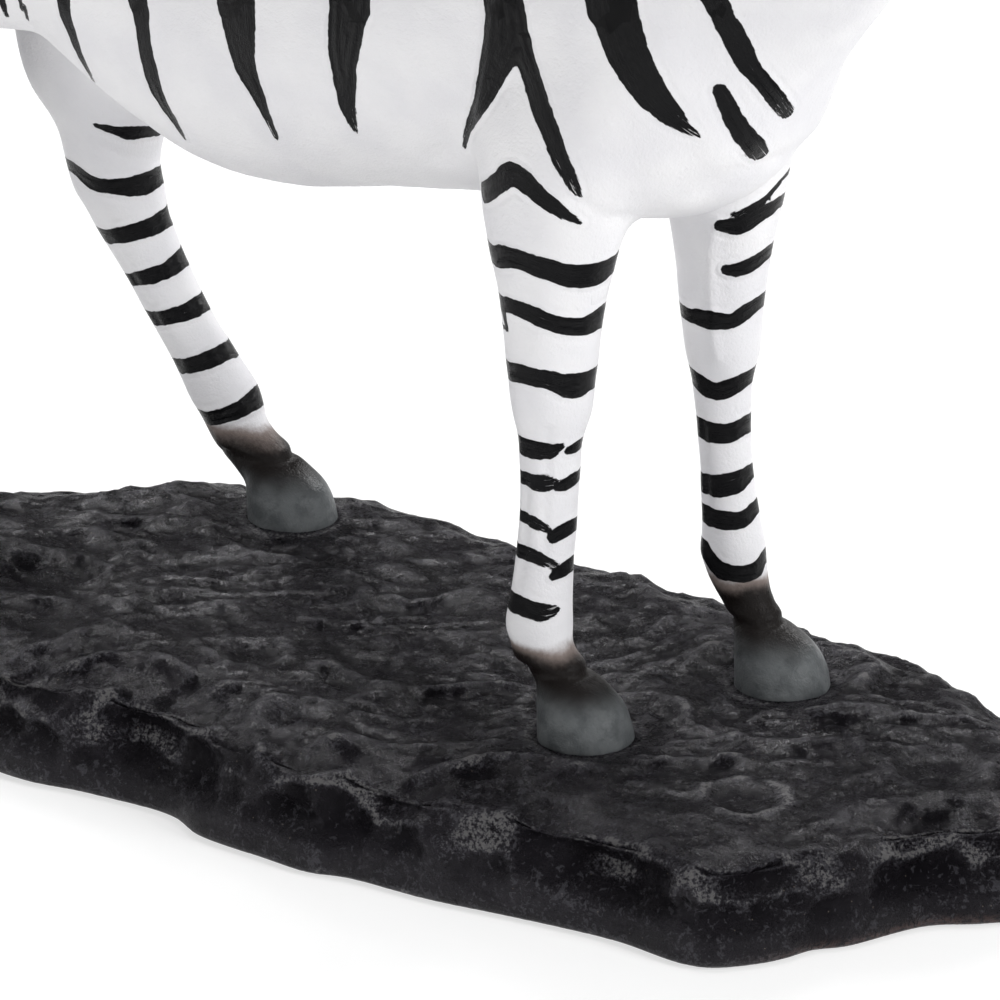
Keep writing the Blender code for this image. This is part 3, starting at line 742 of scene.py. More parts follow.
# %%
BODY_STROKES = (  # (pixels across, pixels down, half the breadth in pixels)
    ((0, -6, 3), (3, 4, 3), (7, 16, 0.5)),
    ((19, -4, 1.6), (20, 2, 1.3), (22, 10, 0.4)),
    ((25, 6, 0.8), (26, 12, 1), (28, 20, 0.4)),
    ((63, 0, 9), (65, 15, 8), (72.5, 35, 6.6), (79, 53, 5), (87, 69, 3), (94, 82, 0.4)),
    ((138, 0, 12), (141, 17, 9.8), (144, 42, 8.2), (149, 65, 9.4), (155, 87, 9), (163, 104, 6.6),
     (174, 121, 4.2), (186, 140, 0.4)),
    ((236, 0, 23), (238, 22, 21), (241, 45, 17), (245, 67, 13), (257, 94, 8), (266, 115, 4.6),
     (277, 139, 0.4)),
    ((349, 0, 23.5), (346, 25, 20.5), (343, 50, 17.5), (344, 75, 13), (347, 105, 8.4),
     (351, 119, 5), (356, 132, 0.4)),
    ((502, 0, 23), (505, 20, 25), (505, 36, 26.5), (498, 54, 20), (489, 77, 14.5), (484, 92, 12.5),
     (477, 109, 9), (471, 122, 5.2), (467, 134, 3), (464, 147, 0.5)),
    ((508, 20, 20), (514, 38, 18.5), (524, 57, 12.5), (533, 82, 11.2), (540, 106, 11.2),
     (549, 129, 10.2), (557, 151, 9), (566, 170, 7.4), (574, 187, 4.4), (580, 196, 0.5)),
    ((611, 0, 25), (618, 26, 24), (625, 48, 22.5), (636, 70, 19.5), (650, 92, 16.5),
     (667, 111, 12), (683, 126, 6), (699, 137, 0.5)),
    ((718, 0, 9), (725, 20, 10.5), (736, 40, 11.2), (747, 63, 9.6), (762, 81, 7.6),
     (778, 101, 7.6), (788, 113, 5.5)),
    ((720, 91, 5.6), (725, 100, 7.2), (733, 117, 8.2), (745, 136, 9.2), (756, 149, 9.4),
     (761, 155, 7)),
)
LEG_STROKES = {
    "right_fore": (
        ((476, 196, 10), (488, 191, 9), (499, 183, 9.5), (511, 174, 11), (526, 183, 10.5),
         (540, 196, 8.5), (553, 206, 7.2), (567, 216, 3.8), (580, 223, 0.5)),
        ((488, 257, 11), (510, 257.5, 9.6), (542, 268, 10.5), (571, 276, 11.5), (597, 274, 12.5),
         (617, 262, 10)),
        ((498, 303, 7), (512, 306, 6.6), (530, 313.5, 8), (552, 323, 8), (577, 327, 8),
         (592, 323, 11), (604, 314, 13)),
        ((503, 304, 4), (504, 314, 4.4), (507, 330, 1)),
        ((509, 371, 9), (530, 376, 8.4), (555, 382, 9), (576, 386, 12.5), (597, 376.5, 9.6)),
        ((517, 444, 7.6), (530, 448, 9), (546, 451, 7.6), (562, 446, 1.6)),
        ((568, 451, 2.6), (577, 446, 5), (585, 440, 5)),
        ((521, 476, 5), (531, 481, 7), (545, 484, 6.6), (556, 481, 2)),
        ((557, 488, 2), (568, 483, 5.6), (579, 475, 5)),
        ((519, 515, 3.6), (533, 522, 5.2), (549, 531, 1.4)),
        ((553, 538, 5), (564, 531, 7), (575, 524, 6)),
        ((519, 551, 6), (537, 557.5, 5.6), (556, 566, 2)),
        ((553, 577, 2.4), (564, 569.5, 6.6), (576, 561, 7)),
        ((515, 603, 8.6), (537, 611.5, 8.4), (550, 611.5, 5.6), (557, 609, 1.6)),
    ),
    "left_fore": (
        ((721, 226, 5), (738, 226, 8.2), (757, 216, 8), (772, 208, 7), (781, 201, 6)),
        ((726, 270, 4), (741, 269, 6), (756, 262, 7.4), (767, 253, 7)),
        ((690, 316, 6.2), (708, 319.5, 8), (730, 321.5, 6.6), (746, 312, 7.4), (761, 301, 6.6)),
        ((688, 371, 8.6), (701, 384, 9), (715, 391, 8), (730, 388, 8), (751, 376, 8)),
        ((695, 424, 9.6), (711, 432.5, 9.6), (733, 432, 8.2), (751, 421, 8.6)),
        ((698, 482, 8.6), (719, 486.5, 10), (738, 481.5, 9.6), (752, 471, 6)),
        ((700, 511, 8.4), (717, 519, 8.2), (741, 520, 7), (757, 506, 6)),
        ((704, 550, 9.6), (718, 569, 8.4), (743, 574, 6.8), (758, 568, 7), (767, 551, 6)),
    ),
    "left_hind": (
        ((95, 125, 0.8), (112, 130, 3.2), (130, 133, 6.6), (145, 132, 6), (158, 134, 1)),
        ((74, 168, 5.6), (91, 182, 6.6), (112, 187, 6), (137, 186, 9), (155, 179, 8.2),
         (165, 171, 7)),
        ((101, 238, 5.6), (123, 235, 6.6), (148, 228.5, 7.6), (169, 216, 8.6)),
        ((131, 280, 4.6), (150, 276, 6.6), (169, 269, 6.6), (185, 256, 8.6)),
        ((153, 319, 5.6), (168, 317, 6), (189, 311, 7), (207, 300, 8.6)),
        ((180, 367, 6), (200, 363, 7), (221, 354, 7.6), (237, 347, 8)),
        ((199, 419, 6), (224, 416, 6), (245, 407, 7.4), (261, 394, 9.4)),
    ),
}
EDGE_LINE = ((789, 171, 1.4), (776, 187, 1.7), (763, 201, 1.9), (748, 209, 1.8), (733, 215, 1.2))
UPPER_STROKES = (  # side view, both sides: (forward, up, half the breadth in millimetres)
    ((-127.6, 103, 0.7), (-126, 109, 1.6), (-122, 116, 2.3), (-117, 127, 2.6), (-113, 140, 2.2),
     (-111, 153, 1), (-110, 160, 0.4)),
    ((-107.8, 105.5, 1.5), (-107, 118, 2.7), (-104.5, 132, 3.2), (-102, 148, 2.8), (-100, 163, 2)),
    ((-88.2, 110, 2), (-89, 124, 3.1), (-89, 142, 3.5), (-88, 161, 2.2)),
    ((-66, 114, 3.9), (-66.5, 128, 4.2), (-67.5, 146, 3.6), (-68, 161, 2.2)),
    ((-42.2, 119, 3.9), (-42.5, 133, 4.2), (-44, 149, 3.5), (-45, 164, 2.1)),
    ((-11.5, 124.5, 3.8), (-12.5, 138, 4), (-16, 154, 3.5), (-20, 169, 2)),
    ((9.2, 128, 4.1), (5, 142, 4.3), (-1, 157, 4), (-7, 171, 2.4)),
    ((24.6, 129.5, 1.6), (20, 142, 3.3), (14, 157, 4), (7, 173, 3.4), (1, 187, 2.4)),
    ((40, 135, 0.7), (37, 144, 3), (30.5, 158, 4), (24, 175, 3.6), (17, 196, 2.6)),
    ((-28, 168, 1.8), (-28, 152, 2.3), (-27, 138, 1.6), (-26, 128, 0.3)),
    ((-57, 162, 1.8), (-56, 148, 2.1), (-55, 136, 1.4), (-54.5, 126, 0.3)),
    ((-78, 161, 1.6), (-78, 147, 2), (-77, 135, 1.3), (-76.5, 124, 0.3)),
    ((49.5, 143, 0.8), (47.5, 155, 2.8), (42, 170, 3.4), (36, 185, 3.1), (27, 206, 2.4)),
    ((59, 158, 0.8), (58, 168, 2.5), (53.5, 182, 3), (49, 194, 2.8), (41, 212, 2.2)),
    ((65.5, 184, 0.7), (63.5, 193, 2.2), (60, 205, 2.3), (55, 221, 2)),
    ((-119, 165, 2), (-122, 151, 3), (-129, 138, 3.5), (-140, 125, 3.3), (-151, 115, 2.7),
     (-160, 108, 2), (-166, 104, 0.7)),
    ((-134, 165, 1.8), (-137, 154, 2.7), (-143, 143, 3), (-151, 133, 2.8), (-159, 125, 2.2),
     (-165, 120, 0.7)),
    ((-147, 162, 1.2), (-150, 153, 2.1), (-155, 145, 2.3), (-160, 139, 2), (-165, 134, 0.6)),
    ((-130, 108, 0.8), (-139, 103, 2.2), (-149, 98, 2.4), (-157, 95, 1)),
)
THIGH_STROKES = (  # side view, on the outside of one hind leg only: (hand, route)
    (-1, ((-139, 92, 1), (-147, 88, 2.2), (-158, 84, 2.4), (-172, 81, 1.6))),
    (1, ((-122, 92, 1), (-132, 87, 2.2), (-146, 82, 2.4), (-160, 80, 1.4))),
)
HEAD_STROKES = (  # along the face: (along, out, above, half the breadth)
    ((11, 14, -9, 0.5), (12.5, 15, -15, 1.2), (12.5, 15, -21, 1.1), (11.5, 14, -26, 0.4)),
    ((17, 14, -10, 0.6), (19.5, 16, -17, 1.3), (20, 16, -25, 1.2), (18, 14, -32, 0.5)),
    ((26, 14, -11, 0.6), (28, 15, -17, 1.2), (28, 15, -24, 1.1), (26, 12, -30, 0.5)),
    ((34, 13, -9, 0.5), (36, 13, -15, 1.1), (36, 13, -21, 1), (34, 11, -26, 0.4)),
    ((42, 11, -7, 0.5), (44, 12, -13, 1), (44, 12, -18, 0.9), (43, 10, -22, 0.4)),
    ((50, 10, -6, 0.4), (51, 11, -11, 0.8), (51, 11, -16, 0.7), (50, 9, -20, 0.4)),
    ((8, 1.7, 3, 0.2), (18, 2, 3, 0.45), (32, 1.8, 2, 0.45), (46, 1.3, 1, 0.2)),
    ((10, 6, 3, 0.3), (18, 6.2, 3, 0.7), (30, 5.6, 2, 0.6), (42, 4.2, 1, 0.3)),
)
RIGHT_HIND_BANDS = (71, 61.5, 52.5, 44, 36, 28)  # heights of the bands that the picture doesn't show
BAND_BREADTH = 1.5
BAND_SLANT = 0.9
RING_STEPS = 16
LEFT_WANDER = 1.2  # how far the left side's stripes stray from the right side's
FAR_OUT = 90  # side view strokes are cast from this far out
BACK_LINE = ((-24, 168, 1), (-60, 161, 1.3), (-100, 163, 1.4), (-140, 164, 1.4), (-154, 158, 0.8))
normals = read_points(skin, "normal")
skin_tree = tree_of(skin, points)
LEG_SIDES = {name: LEGS[name][1][3][2] for name in LEGS}
BAND_EDGE_TURN = math.radians(50)  # a band that ends this far round from the camera goes on behind
BAND_STEPS = 9
BAND_STEP_TURN = math.radians(13)
BAND_TOP = 86
OFF_LEG = 16  # a pixel's place further than this from the leg's own side is on another leg
SHOW_LIMIT = 0.08  # how far a place is turned from the camera before a mirrored stroke may start


def brush(route, side=None):
    """A stroke seen in the picture, as (place, half the breadth) on the skin at that side."""
    stroke = []
    for across, down, breadth in curve_through(route, 3):
        place = from_picture(across, down)
        if place is not None and (side is None or abs(place[1] - side) < OFF_LEG):
            stroke.append((place, breadth * np.linalg.norm(place - CAMERA_PLACE) / LENS_PIXELS))
    return stroke


def round_the_leg(stroke, name):
    """A band with each end that reaches the leg's outline carried on behind the leg, thinning out."""
    view = math.atan2(TO_CAMERA[1], TO_CAMERA[0])
    carried = []
    for place, breadth in (stroke[0], stroke[-1]):
        forward, side = leg_middle(name, place[2])
        angle = math.atan2(place[1] - side, place[0] - forward)
        turned = math.remainder(angle - view, 2 * math.pi)
        more = []
        if abs(turned) > BAND_EDGE_TURN:
            for step in range(1, BAND_STEPS + 1):
                way = angle + math.copysign(BAND_STEP_TURN * step, turned)
                up = place[2] + 0.12 * step * math.sin(1.7 * place[2])
                axis = Vector((forward, side, up))
                start = axis + Vector((math.cos(way), math.sin(way), 0)) * 22
                hit = skin_tree.ray_cast(start, axis - start)[0]
                if hit is None:
                    break
                thinning = 1 - 0.6 * (step / BAND_STEPS) ** 2
                more.append((np.array(hit), breadth * thinning))
        carried.append(more)
    return carried[0][::-1] + stroke + carried[1]


def from_side(route, hand, wander=0.0):
    """A stroke given in side view, laid on that side of the skin."""
    found = []
    for forward, up, breadth in curve_through(route, 3):
        place = Vector((forward, hand * FAR_OUT, up))
        place.x += wander * noise.noise(Vector((forward / 13, hand, up / 13)))
        hit = skin_tree.ray_cast(place, Vector((0, -hand, 0)))[0]
        if hit is None or hit.y * hand < -1:
            hit = skin_tree.find_nearest(Vector((place.x, hand * 2, up)))[0]
        found.append((np.array(hit), breadth))
    return found


def mirrored(stroke):
    """The same stroke on the left side, less what the camera would see of it: the picture has none."""
    found = []
    for place, breadth in stroke:
        hit, normal = skin_tree.find_nearest(Vector(place * (1, -1, 1)))[:2]
        turned_away = -normal.dot(Vector(TO_CAMERA)) - SHOW_LIMIT
        if turned_away > 0:
            found.append((np.array(hit), breadth * min(1.0, 0.2 + 3 * turned_away)))
    return found


def on_head(route, hand):
    found = []
    for along, out, above, breadth in curve_through(route, 3):
        forward, up = on_face(along, above)
        hit = skin_tree.find_nearest(Vector((forward, hand * out, up)))[0]
        found.append((np.array(hit), breadth))
    return found


def ring_band(name, height, breadth, slant):
    """A closed band round a leg."""
    forward, side = leg_middle(name, height)
    found = []
    for step in range(RING_STEPS + 1):
        angle = 2 * math.pi * step / RING_STEPS
        up = height + slant * math.cos(angle) + 0.5 * math.sin(2 * angle + height)
        start = Vector((forward + 20 * math.cos(angle), side + 20 * math.sin(angle), up))
        hit = skin_tree.ray_cast(start, Vector((forward, side, up)) - start)[0]
        width = breadth * (1 + 0.35 * math.sin(angle * 1.5 + height))
        found.append((np.array(hit or (forward, side, up)), width))
    return found


strokes = []
for route in BODY_STROKES:
    stroke = brush(route)
    far_side = mirrored(stroke)
    strokes.append(stroke)
    if len(far_side) > 1:
        strokes.append(far_side)
for leg_name, routes in LEG_STROKES.items():
    for route in routes:
        stroke = brush(route, LEG_SIDES[leg_name])
        if stroke[0][0][2] < BAND_TOP:
            stroke = round_the_leg(stroke, leg_name)
        strokes.append(stroke)
strokes.append(brush(EDGE_LINE))
for route in UPPER_STROKES:
    for hand in (-1, 1):
        strokes.append(from_side(route, hand, 0.0 if hand < 0 else LEFT_WANDER))
for hand, route in THIGH_STROKES:
    strokes.append(from_side(route, hand))
for route in HEAD_STROKES:
    for hand in (-1, 1):
        strokes.append(on_head(route, hand))
for band_height in RIGHT_HIND_BANDS:
    strokes.append(ring_band("right_hind", band_height, BAND_BREADTH, BAND_SLANT))
strokes.append([(np.array(skin_tree.find_nearest(Vector((row[0], 0, row[1] + 3)))[0]), row[2])
                for row in curve_through(BACK_LINE, 6)])
print("painted", len(strokes), "strokes")

# %% [markdown]
# ## The strokes written onto the skin
#
# Each corner of the skin learns how far it lies from the edge of the nearest stroke, below 0 inside
# it. It also learns its place along and across that stroke, so that the paint can show the bristles
# of the brush, and how dry the brush was, which it is towards the end of its way.

# %%
REACH = 5.0  # how far from a stroke its neighbourhood is kept, in millimetres
STROKE_SHIFT = 31.0  # gives each stroke bristle streaks of its own
DRY_FROM = 0.62  # the share of a stroke after which the brush runs dry


def write_strokes(points, normals, strokes):
    edge = np.full(len(points), REACH)
    along, across, dryness = (np.zeros(len(points)) for _ in range(3))
    for number, stroke in enumerate(strokes):
        places = np.array([place for place, _ in stroke])
        breadths = np.array([breadth for _, breadth in stroke])
        chosen = beside(points, places, REACH + breadths.max())
        if not len(chosen):
            continue
        here, facing = points[chosen], normals[chosen]
        steps = np.linalg.norm(np.diff(places, axis=0), axis=1)
        starts = np.concatenate([[0], np.cumsum(steps)])
        for i, length in enumerate(steps):
            if length < 1e-6:
                continue
            way = (places[i + 1] - places[i]) / length
            offset = here - places[i]
            travel = np.clip(offset @ way, 0, length)
            from_line = offset - travel[:, None] * way
            share = travel / length
            gap = np.linalg.norm(from_line, axis=1)
            gap = gap - breadths[i] * (1 - share) - breadths[i + 1] * share
            closer = gap < edge[chosen]
            at = chosen[closer]
            edge[at] = gap[closer]
            along[at] = starts[i] + travel[closer] + STROKE_SHIFT * number
            sideways = np.cross(facing[closer], way)
            across[at] = (from_line[closer] * sideways).sum(1)
            dryness[at] = eased(((starts[i] + travel[closer]) / starts[-1] - DRY_FROM) / (1 - DRY_FROM))
    return edge, along, across, dryness


# %% [markdown]
# ## Thinning
#
# The skin is thinned where it is plain. Where a stroke has its edge, and at the feet, eyes, muzzle,
# mane and tail, it keeps every corner, because the paint is written on the corners of the mesh and a
# long thin triangle would smear it. A last light relaxing takes away the faint facets of thinning.

# %%
ZEBRA_TRIANGLES = 190000
KEPT_BESIDE_EDGES = 0.9  # millimetres on both sides of the edge of a stroke
LAST_SOFTNESS = 0.3
LAST_ROUNDS = 2


def thinned(mesh, triangles, thin_here):
    """The mesh brought down to about that many triangles, keeping the corners that aren't named."""
    mesh.calc_loop_triangles()
    holder = placed("thinning", mesh)
    group = holder.vertex_groups.new(name="thin_here")
    group.add(np.nonzero(thin_here)[0].tolist(), 1.0, "REPLACE")
    thin = holder.modifiers.new("thin", "DECIMATE")
    thin.vertex_group = group.name
    thin.ratio = min(1.0, triangles / len(mesh.loop_triangles))
    return applied(holder)


def plain_skin(points, edge):
    """Where the skin has neither the edge of a stroke nor fine forms."""
    forward, _, up = points.T
    along, _, above = face_places(points)
    face = (forward > 72) & ((np.abs(along - EYE[0]) < 7) & (np.abs(above - EYE[1]) < 6) | (along > 54))
    fine = face | (up < 25) | (mane_mask(points) > 0.1) | ((tail_mask(points) > 0.1) & (up < 112))
    return (np.abs(edge) > KEPT_BESIDE_EDGES) & ~fine


dense_edge = write_strokes(points, normals, strokes)[0]
skin = thinned(skin, ZEBRA_TRIANGLES, plain_skin(points, dense_edge))
points = read_points(skin)
skin_edges = read_edges(skin)
points = relax(points, skin_edges, np.full(len(points), LAST_SOFTNESS), LAST_ROUNDS)
write_points(skin, points)
normals = read_points(skin, "normal")
skin.calc_loop_triangles()
print("the zebra has", len(skin.loop_triangles), "triangles")

# %% [markdown]
# What each corner of the thinned skin has learned is stored on it by name, for the paint to read.

# %%
def store(mesh, **values):
    for name, numbers in values.items():
        made = mesh.attributes.new(name, "FLOAT", "POINT")
        made.data.foreach_set("value", np.asarray(numbers, np.float32))


edge, along, across, dryness = write_strokes(points, normals, strokes)
store(skin, stroke_edge=edge, stroke_along=along, stroke_across=across, stroke_dryness=dryness)
print("ink on", round(100 * float((edge < 0).mean())), "% of the skin")

# %% [markdown]
# ## Airbrushed feet, hooves, eyes and hair
#
# Black was sprayed up from each hoof, so that the pastern fades from black through a warm brown-grey
# to white. The hooves are slate green-grey. Muzzle, eyes, the edge of the mane and the tuft of the
# tail are black.

# %%
LEG_REACH = 14  # a point this near to the middle of a leg belongs to it
FADES = {  # on each leg, the places along it where the spray begins to show and where it is full
    "right_fore": (17, 11), "left_fore": (20.5, 13.5),
    "left_hind": (19, 12), "right_hind": (19, 12.5),
}


def spray_of(points):
    spray = np.zeros(len(points))
    for name, (white, black) in FADES.items():
        near = from_post(points, *leg_middle(name, points[:, 2])) < LEG_REACH
        height = points[:, 2] + 1.1 * wavering(points, 5, 6)
        spray = np.maximum(spray, near * eased((white - height) / (white - black)))
    return spray


def hoof_of(points):
    height, away = hoof_places(points)
    return (away < 1.6) * eased((0.92 - height + 0.06 * wavering(points, 4, 7)) / 0.46)


def soot_of(points):
    along, out, above = face_places(points)
    on_head = (points[:, 0] > 72) & (above < 5)
    muzzle = eased((along - 57 + 1.4 * wavering(points, 6, 8)) / 3.5) * on_head
    eye = (out > 6) * on_head * (1 - eased((from_eye(along, above) - 3.0) / 0.5))
    mane_tip = mane_mask(points) * eased((above_crest(points) - 9.4 + wavering(points, 3, 9)) / 1.5)
    ear_tip = eased((points[:, 2] - 226.5 + 1.2 * wavering(points, 3, 10)) / 1.6)
    ear_tip = ear_tip * (np.abs(points[:, 1]) > 5)
    tuft = tail_mask(points) * eased((104 - points[:, 2] + 3 * wavering(points, 4, 11)) / 6)
    return np.max([muzzle, eye, mane_tip * (points[:, 0] < 70), ear_tip, tuft], axis=0)


store(skin, spray=spray_of(points), hoof=hoof_of(points), soot=soot_of(points))

# %% [markdown]
# ## The rock
#
# The rock is drawn by its outline at the foot, seen along the whole near edge in the picture. Its
# wall leans inwards, with bites broken out under the rim. Its top was worked with thumbs and a
# spatula into shallow dishes with soft ridges between them, and a few round dents were pressed in.

# %%
ROCK_FOOT = (
    (80, 20), (70, 32), (52, 41), (28, 47), (6, 50), (-28, 48.5), (-57, 45), (-82, 42.5),
    (-104, 39), (-126, 28), (-141, 11), (-152, -3), (-168, -10), (-178, -25), (-174, -43),
    (-153, -56), (-121, -64), (-89, -66.5), (-73, -62.8), (-57, -60), (-47, -62.7), (-34, -62),
    (-24, -61.2), (-17, -58.3), (-3, -56), (10, -52.4), (21, -49.5), (31, -47.5), (42, -47.2),
    (48, -45), (52.5, -39.5), (55, -34.5), (56.5, -29), (60, -24), (64.5, -11), (71, -4), (78, 6),
)
ROCK_WALL = ((0, 0.22), (0.08, 0), (0.36, 0.12), (0.62, 0.3), (0.85, 0.6), (1, 1))
ROCK_BOTTOM = -18.0
WALL_LEAN = 5.4
RIM_DROP = 1.6
RIM_WIDTH = 12.0
ROCK_SIDES = 420
ROCK_RINGS = 22
ROCK_CELL = 0.85
DENTS = (  # (forward, side, radius, depth)
    (34.5, -20, 6.8, 0.8), (-62, -33, 7, 0.45), (52, 8, 8, 0.4), (-112, -30, 9, 0.5),
    (-128, -48, 7, 0.4), (28, 30, 7, 0.4),
)
DENT_FLOOR = 0.55
FLOW_WAY = (0.755, 0.656)  # the way that the spatula was mostly drawn over the top
SMOOTH_FROM = 25.0  # how far towards the camera the smoother corner of the top begins
BITE_REACH = 5.5  # how far the bites in the wall eat into the top
WALL_CHANGE = (-3.8, 0.4)  # the deepest bite and the highest swelling of the wall
ROCK_SOFTNESS = 0.7
ROCK_ROUNDS = 6


def rock_outline():
    drawn = np.array(curve_through(np.vstack([ROCK_FOOT, ROCK_FOOT[:1]]), 8))
    lengths = np.linalg.norm(np.diff(drawn, axis=0), axis=1)
    reached = np.concatenate([[0], np.cumsum(lengths)])
    wanted = np.arange(ROCK_SIDES) / ROCK_SIDES * reached[-1]
    return np.stack([np.interp(wanted, reached, drawn[:, axis]) for axis in (0, 1)], axis=1)


def inward(outline):
    """At each point of the outline, the unit vector towards its inside."""
    step = 3
    ways = np.roll(outline, -step, axis=0) - np.roll(outline, step, axis=0)
    ways /= np.linalg.norm(ways, axis=1, keepdims=True)
    return np.stack([-ways[:, 1], ways[:, 0]], axis=1)


def rock_form():
    """Rings up the wall, then across the top to a short line in its middle."""
    outline = rock_outline()
    into = inward(outline)
    rings = []
    for way_up, way_in in curve_through(ROCK_WALL, 3):
        ring = outline + into * way_in * WALL_LEAN
        top = rock_level(ring[:, 0]) - RIM_DROP
        rings.append(np.column_stack([ring, ROCK_BOTTOM + way_up * (top - ROCK_BOTTOM)]))
    rim = rings[-1][:, :2]
    low, high = rim.min(0), rim.max(0)
    half = (high[1] - low[1]) / 2
    goal = np.column_stack([
        np.clip(rim[:, 0], low[0] + half, high[0] - half), np.full(len(rim), (low[1] + high[1]) / 2)
    ])
    for step in range(1, ROCK_RINGS):
        ring = rim + (goal - rim) * step / ROCK_RINGS
        from_rim = np.linalg.norm(ring - rim, axis=1)
        drop = RIM_DROP * (1 - eased(from_rim / RIM_WIDTH))
        rings.append(np.column_stack([ring, rock_level(ring[:, 0]) - drop]))
    bm = bmesh.new()
    loft(bm, rings)
    bmesh.ops.triangulate(bm, faces=[face for face in bm.faces if len(face.verts) > 4])
    bmesh.ops.recalc_face_normals(bm, faces=bm.faces)
    return bm


def dishes(points, size, seed):
    """Shallow dishes with ridges where they meet: 0 in the middle of a dish and 1 on a ridge."""
    shift = Vector((seed * 3.7, seed * 11.9, seed * 6.1))
    nearest = np.array([noise.voronoi(Vector(row) + shift)[0][0] for row in (points / size).tolist()])
    return np.clip(nearest / 0.75, 0, 1) ** 2


def warped(points, strength, span, seed):
    """The points pushed about smoothly, so that a pattern read there looks kneaded."""
    return points + strength * np.stack([
        wavering(points, span, seed), wavering(points, span, seed + 1), 0.4 * wavering(points, span, seed + 2)
    ], axis=1)


def rock_relief(points):
    """How far the top is raised at each point."""
    flat = points * (1, 1, 0.25)
    kneaded = warped(flat, 7, 21, 20)
    along_flow = kneaded[:, 0] * FLOW_WAY[0] + kneaded[:, 1] * FLOW_WAY[1]
    over_flow = kneaded[:, 1] * FLOW_WAY[0] - kneaded[:, 0] * FLOW_WAY[1]
    flow = np.column_stack([along_flow / 2.1, over_flow, np.zeros(len(points))])
    broad = 1.5 * wavering(flat, 31, 12) + 0.8 * wavering(flat, 14, 13)
    folds = 1 - 2.4 * np.abs(wavering(flow, 12, 16))
    creases = 1 - 2.6 * np.abs(wavering(warped(flow, 2.2, 6, 26), 5.2, 18))
    dish = dishes(kneaded, 14, 14)
    small = dishes(warped(flat, 2.5, 7, 24), 6, 15)
    relief = broad + 1.0 * (dish - 0.35) + 0.5 * (small - 0.4)
    relief = relief + 1.25 * np.maximum(0, folds) ** 1.5 + 0.62 * np.maximum(0, creases) ** 1.5
    nearness = points[:, 0] * FLOW_WAY[1] - points[:, 1] * FLOW_WAY[0]
    relief = relief * (1 - 0.6 * eased((nearness - SMOOTH_FROM + 5 * wavering(flat, 25, 21)) / 9))
    for forward, side, radius, depth in DENTS:
        away = from_post(points, forward, side) / radius
        floor = 1 - eased((away - DENT_FLOOR) / (1 - DENT_FLOOR))
        relief = relief * (1 - 0.75 * floor) - depth * floor + 0.3 * depth * hump(away - 1.04, 0.12)
    return relief - 0.5 + 0.3 * wavering(flat, 2.6, 17) + 0.14 * wavering(flat, 1.4, 19)


def inset_from(outline, points):
    """How far each point lies from the outline, seen from above."""
    tree = KDTree(len(outline))
    for index, (forward, side) in enumerate(outline.tolist()):
        tree.insert((forward, side, 0), index)
    tree.balance()
    return np.array([tree.find((forward, side, 0))[2] for forward, side, _ in points.tolist()])


def calm_of(points):
    """0 under a hoof, growing to 1 around it."""
    calm = np.ones(len(points))
    for forward, side in HOOVES.values():
        away = from_post(points, forward, side) / HOOF_RADIUS
        calm = calm * eased((away - 0.95) / 0.8)
    return calm


rock = remeshed(rock_form(), ROCK_CELL)
rock_points = read_points(rock)
rock_edges = read_edges(rock)
rock_points = relax(rock_points, rock_edges, np.full(len(rock_points), ROCK_SOFTNESS), ROCK_ROUNDS)
rock_points[:, 2] = np.maximum(rock_points[:, 2], ROCK_BOTTOM)
write_points(rock, rock_points)
rock_normals = read_points(rock, "normal")
top = eased((rock_normals[:, 2] - 0.45) / 0.4)
wall = (1 - top) * (rock_normals[:, 2] > -0.6)
above_foot = rock_points[:, 2] - ROCK_BOTTOM
height = eased(above_foot / 16)
standing = eased((above_foot - 0.6) / 2.5)
relief = rock_relief(rock_points) * calm_of(rock_points)
bites = dishes(warped(rock_points, 3.5, 12, 30) * (1, 1, 1.2), 13.5, 31)
chips = dishes(warped(rock_points, 1.5, 5, 34), 5.0, 32)
into_wall = -3.2 * (1 - bites) * eased((height - 0.2) / 0.45) - 0.7 * (1 - chips) * height
into_wall = into_wall + 0.5 * wavering(rock_points, 14, 33) + 0.15 * wavering(rock_points, 2.4, 35)
outward = rock_normals * (1, 1, 0.35)
outward /= np.maximum(np.linalg.norm(outward, axis=1, keepdims=True), 1e-6)
rim = top * (1 - eased((rock_normals[:, 2] - 0.8) / 0.15))
bitten = top * hump(inset_from(rock_outline(), rock_points) - WALL_LEAN, BITE_REACH)
relief = relief * (1 - 0.5 * bitten) - 2.4 * (1 - bites) * bitten - 0.4 * (1 - chips) * bitten
rock_points[:, 2] += relief * top * standing
wall_change = np.clip(into_wall, *WALL_CHANGE) * np.maximum(wall, 0.5 * rim) * standing
rock_points += outward * wall_change[:, None]
rock_points[:, 2] = np.maximum(rock_points[:, 2], ROCK_BOTTOM)
write_points(rock, rock_points)
rock_normals = read_points(rock, "normal")
print("the rock has", len(rock_points), "corners")
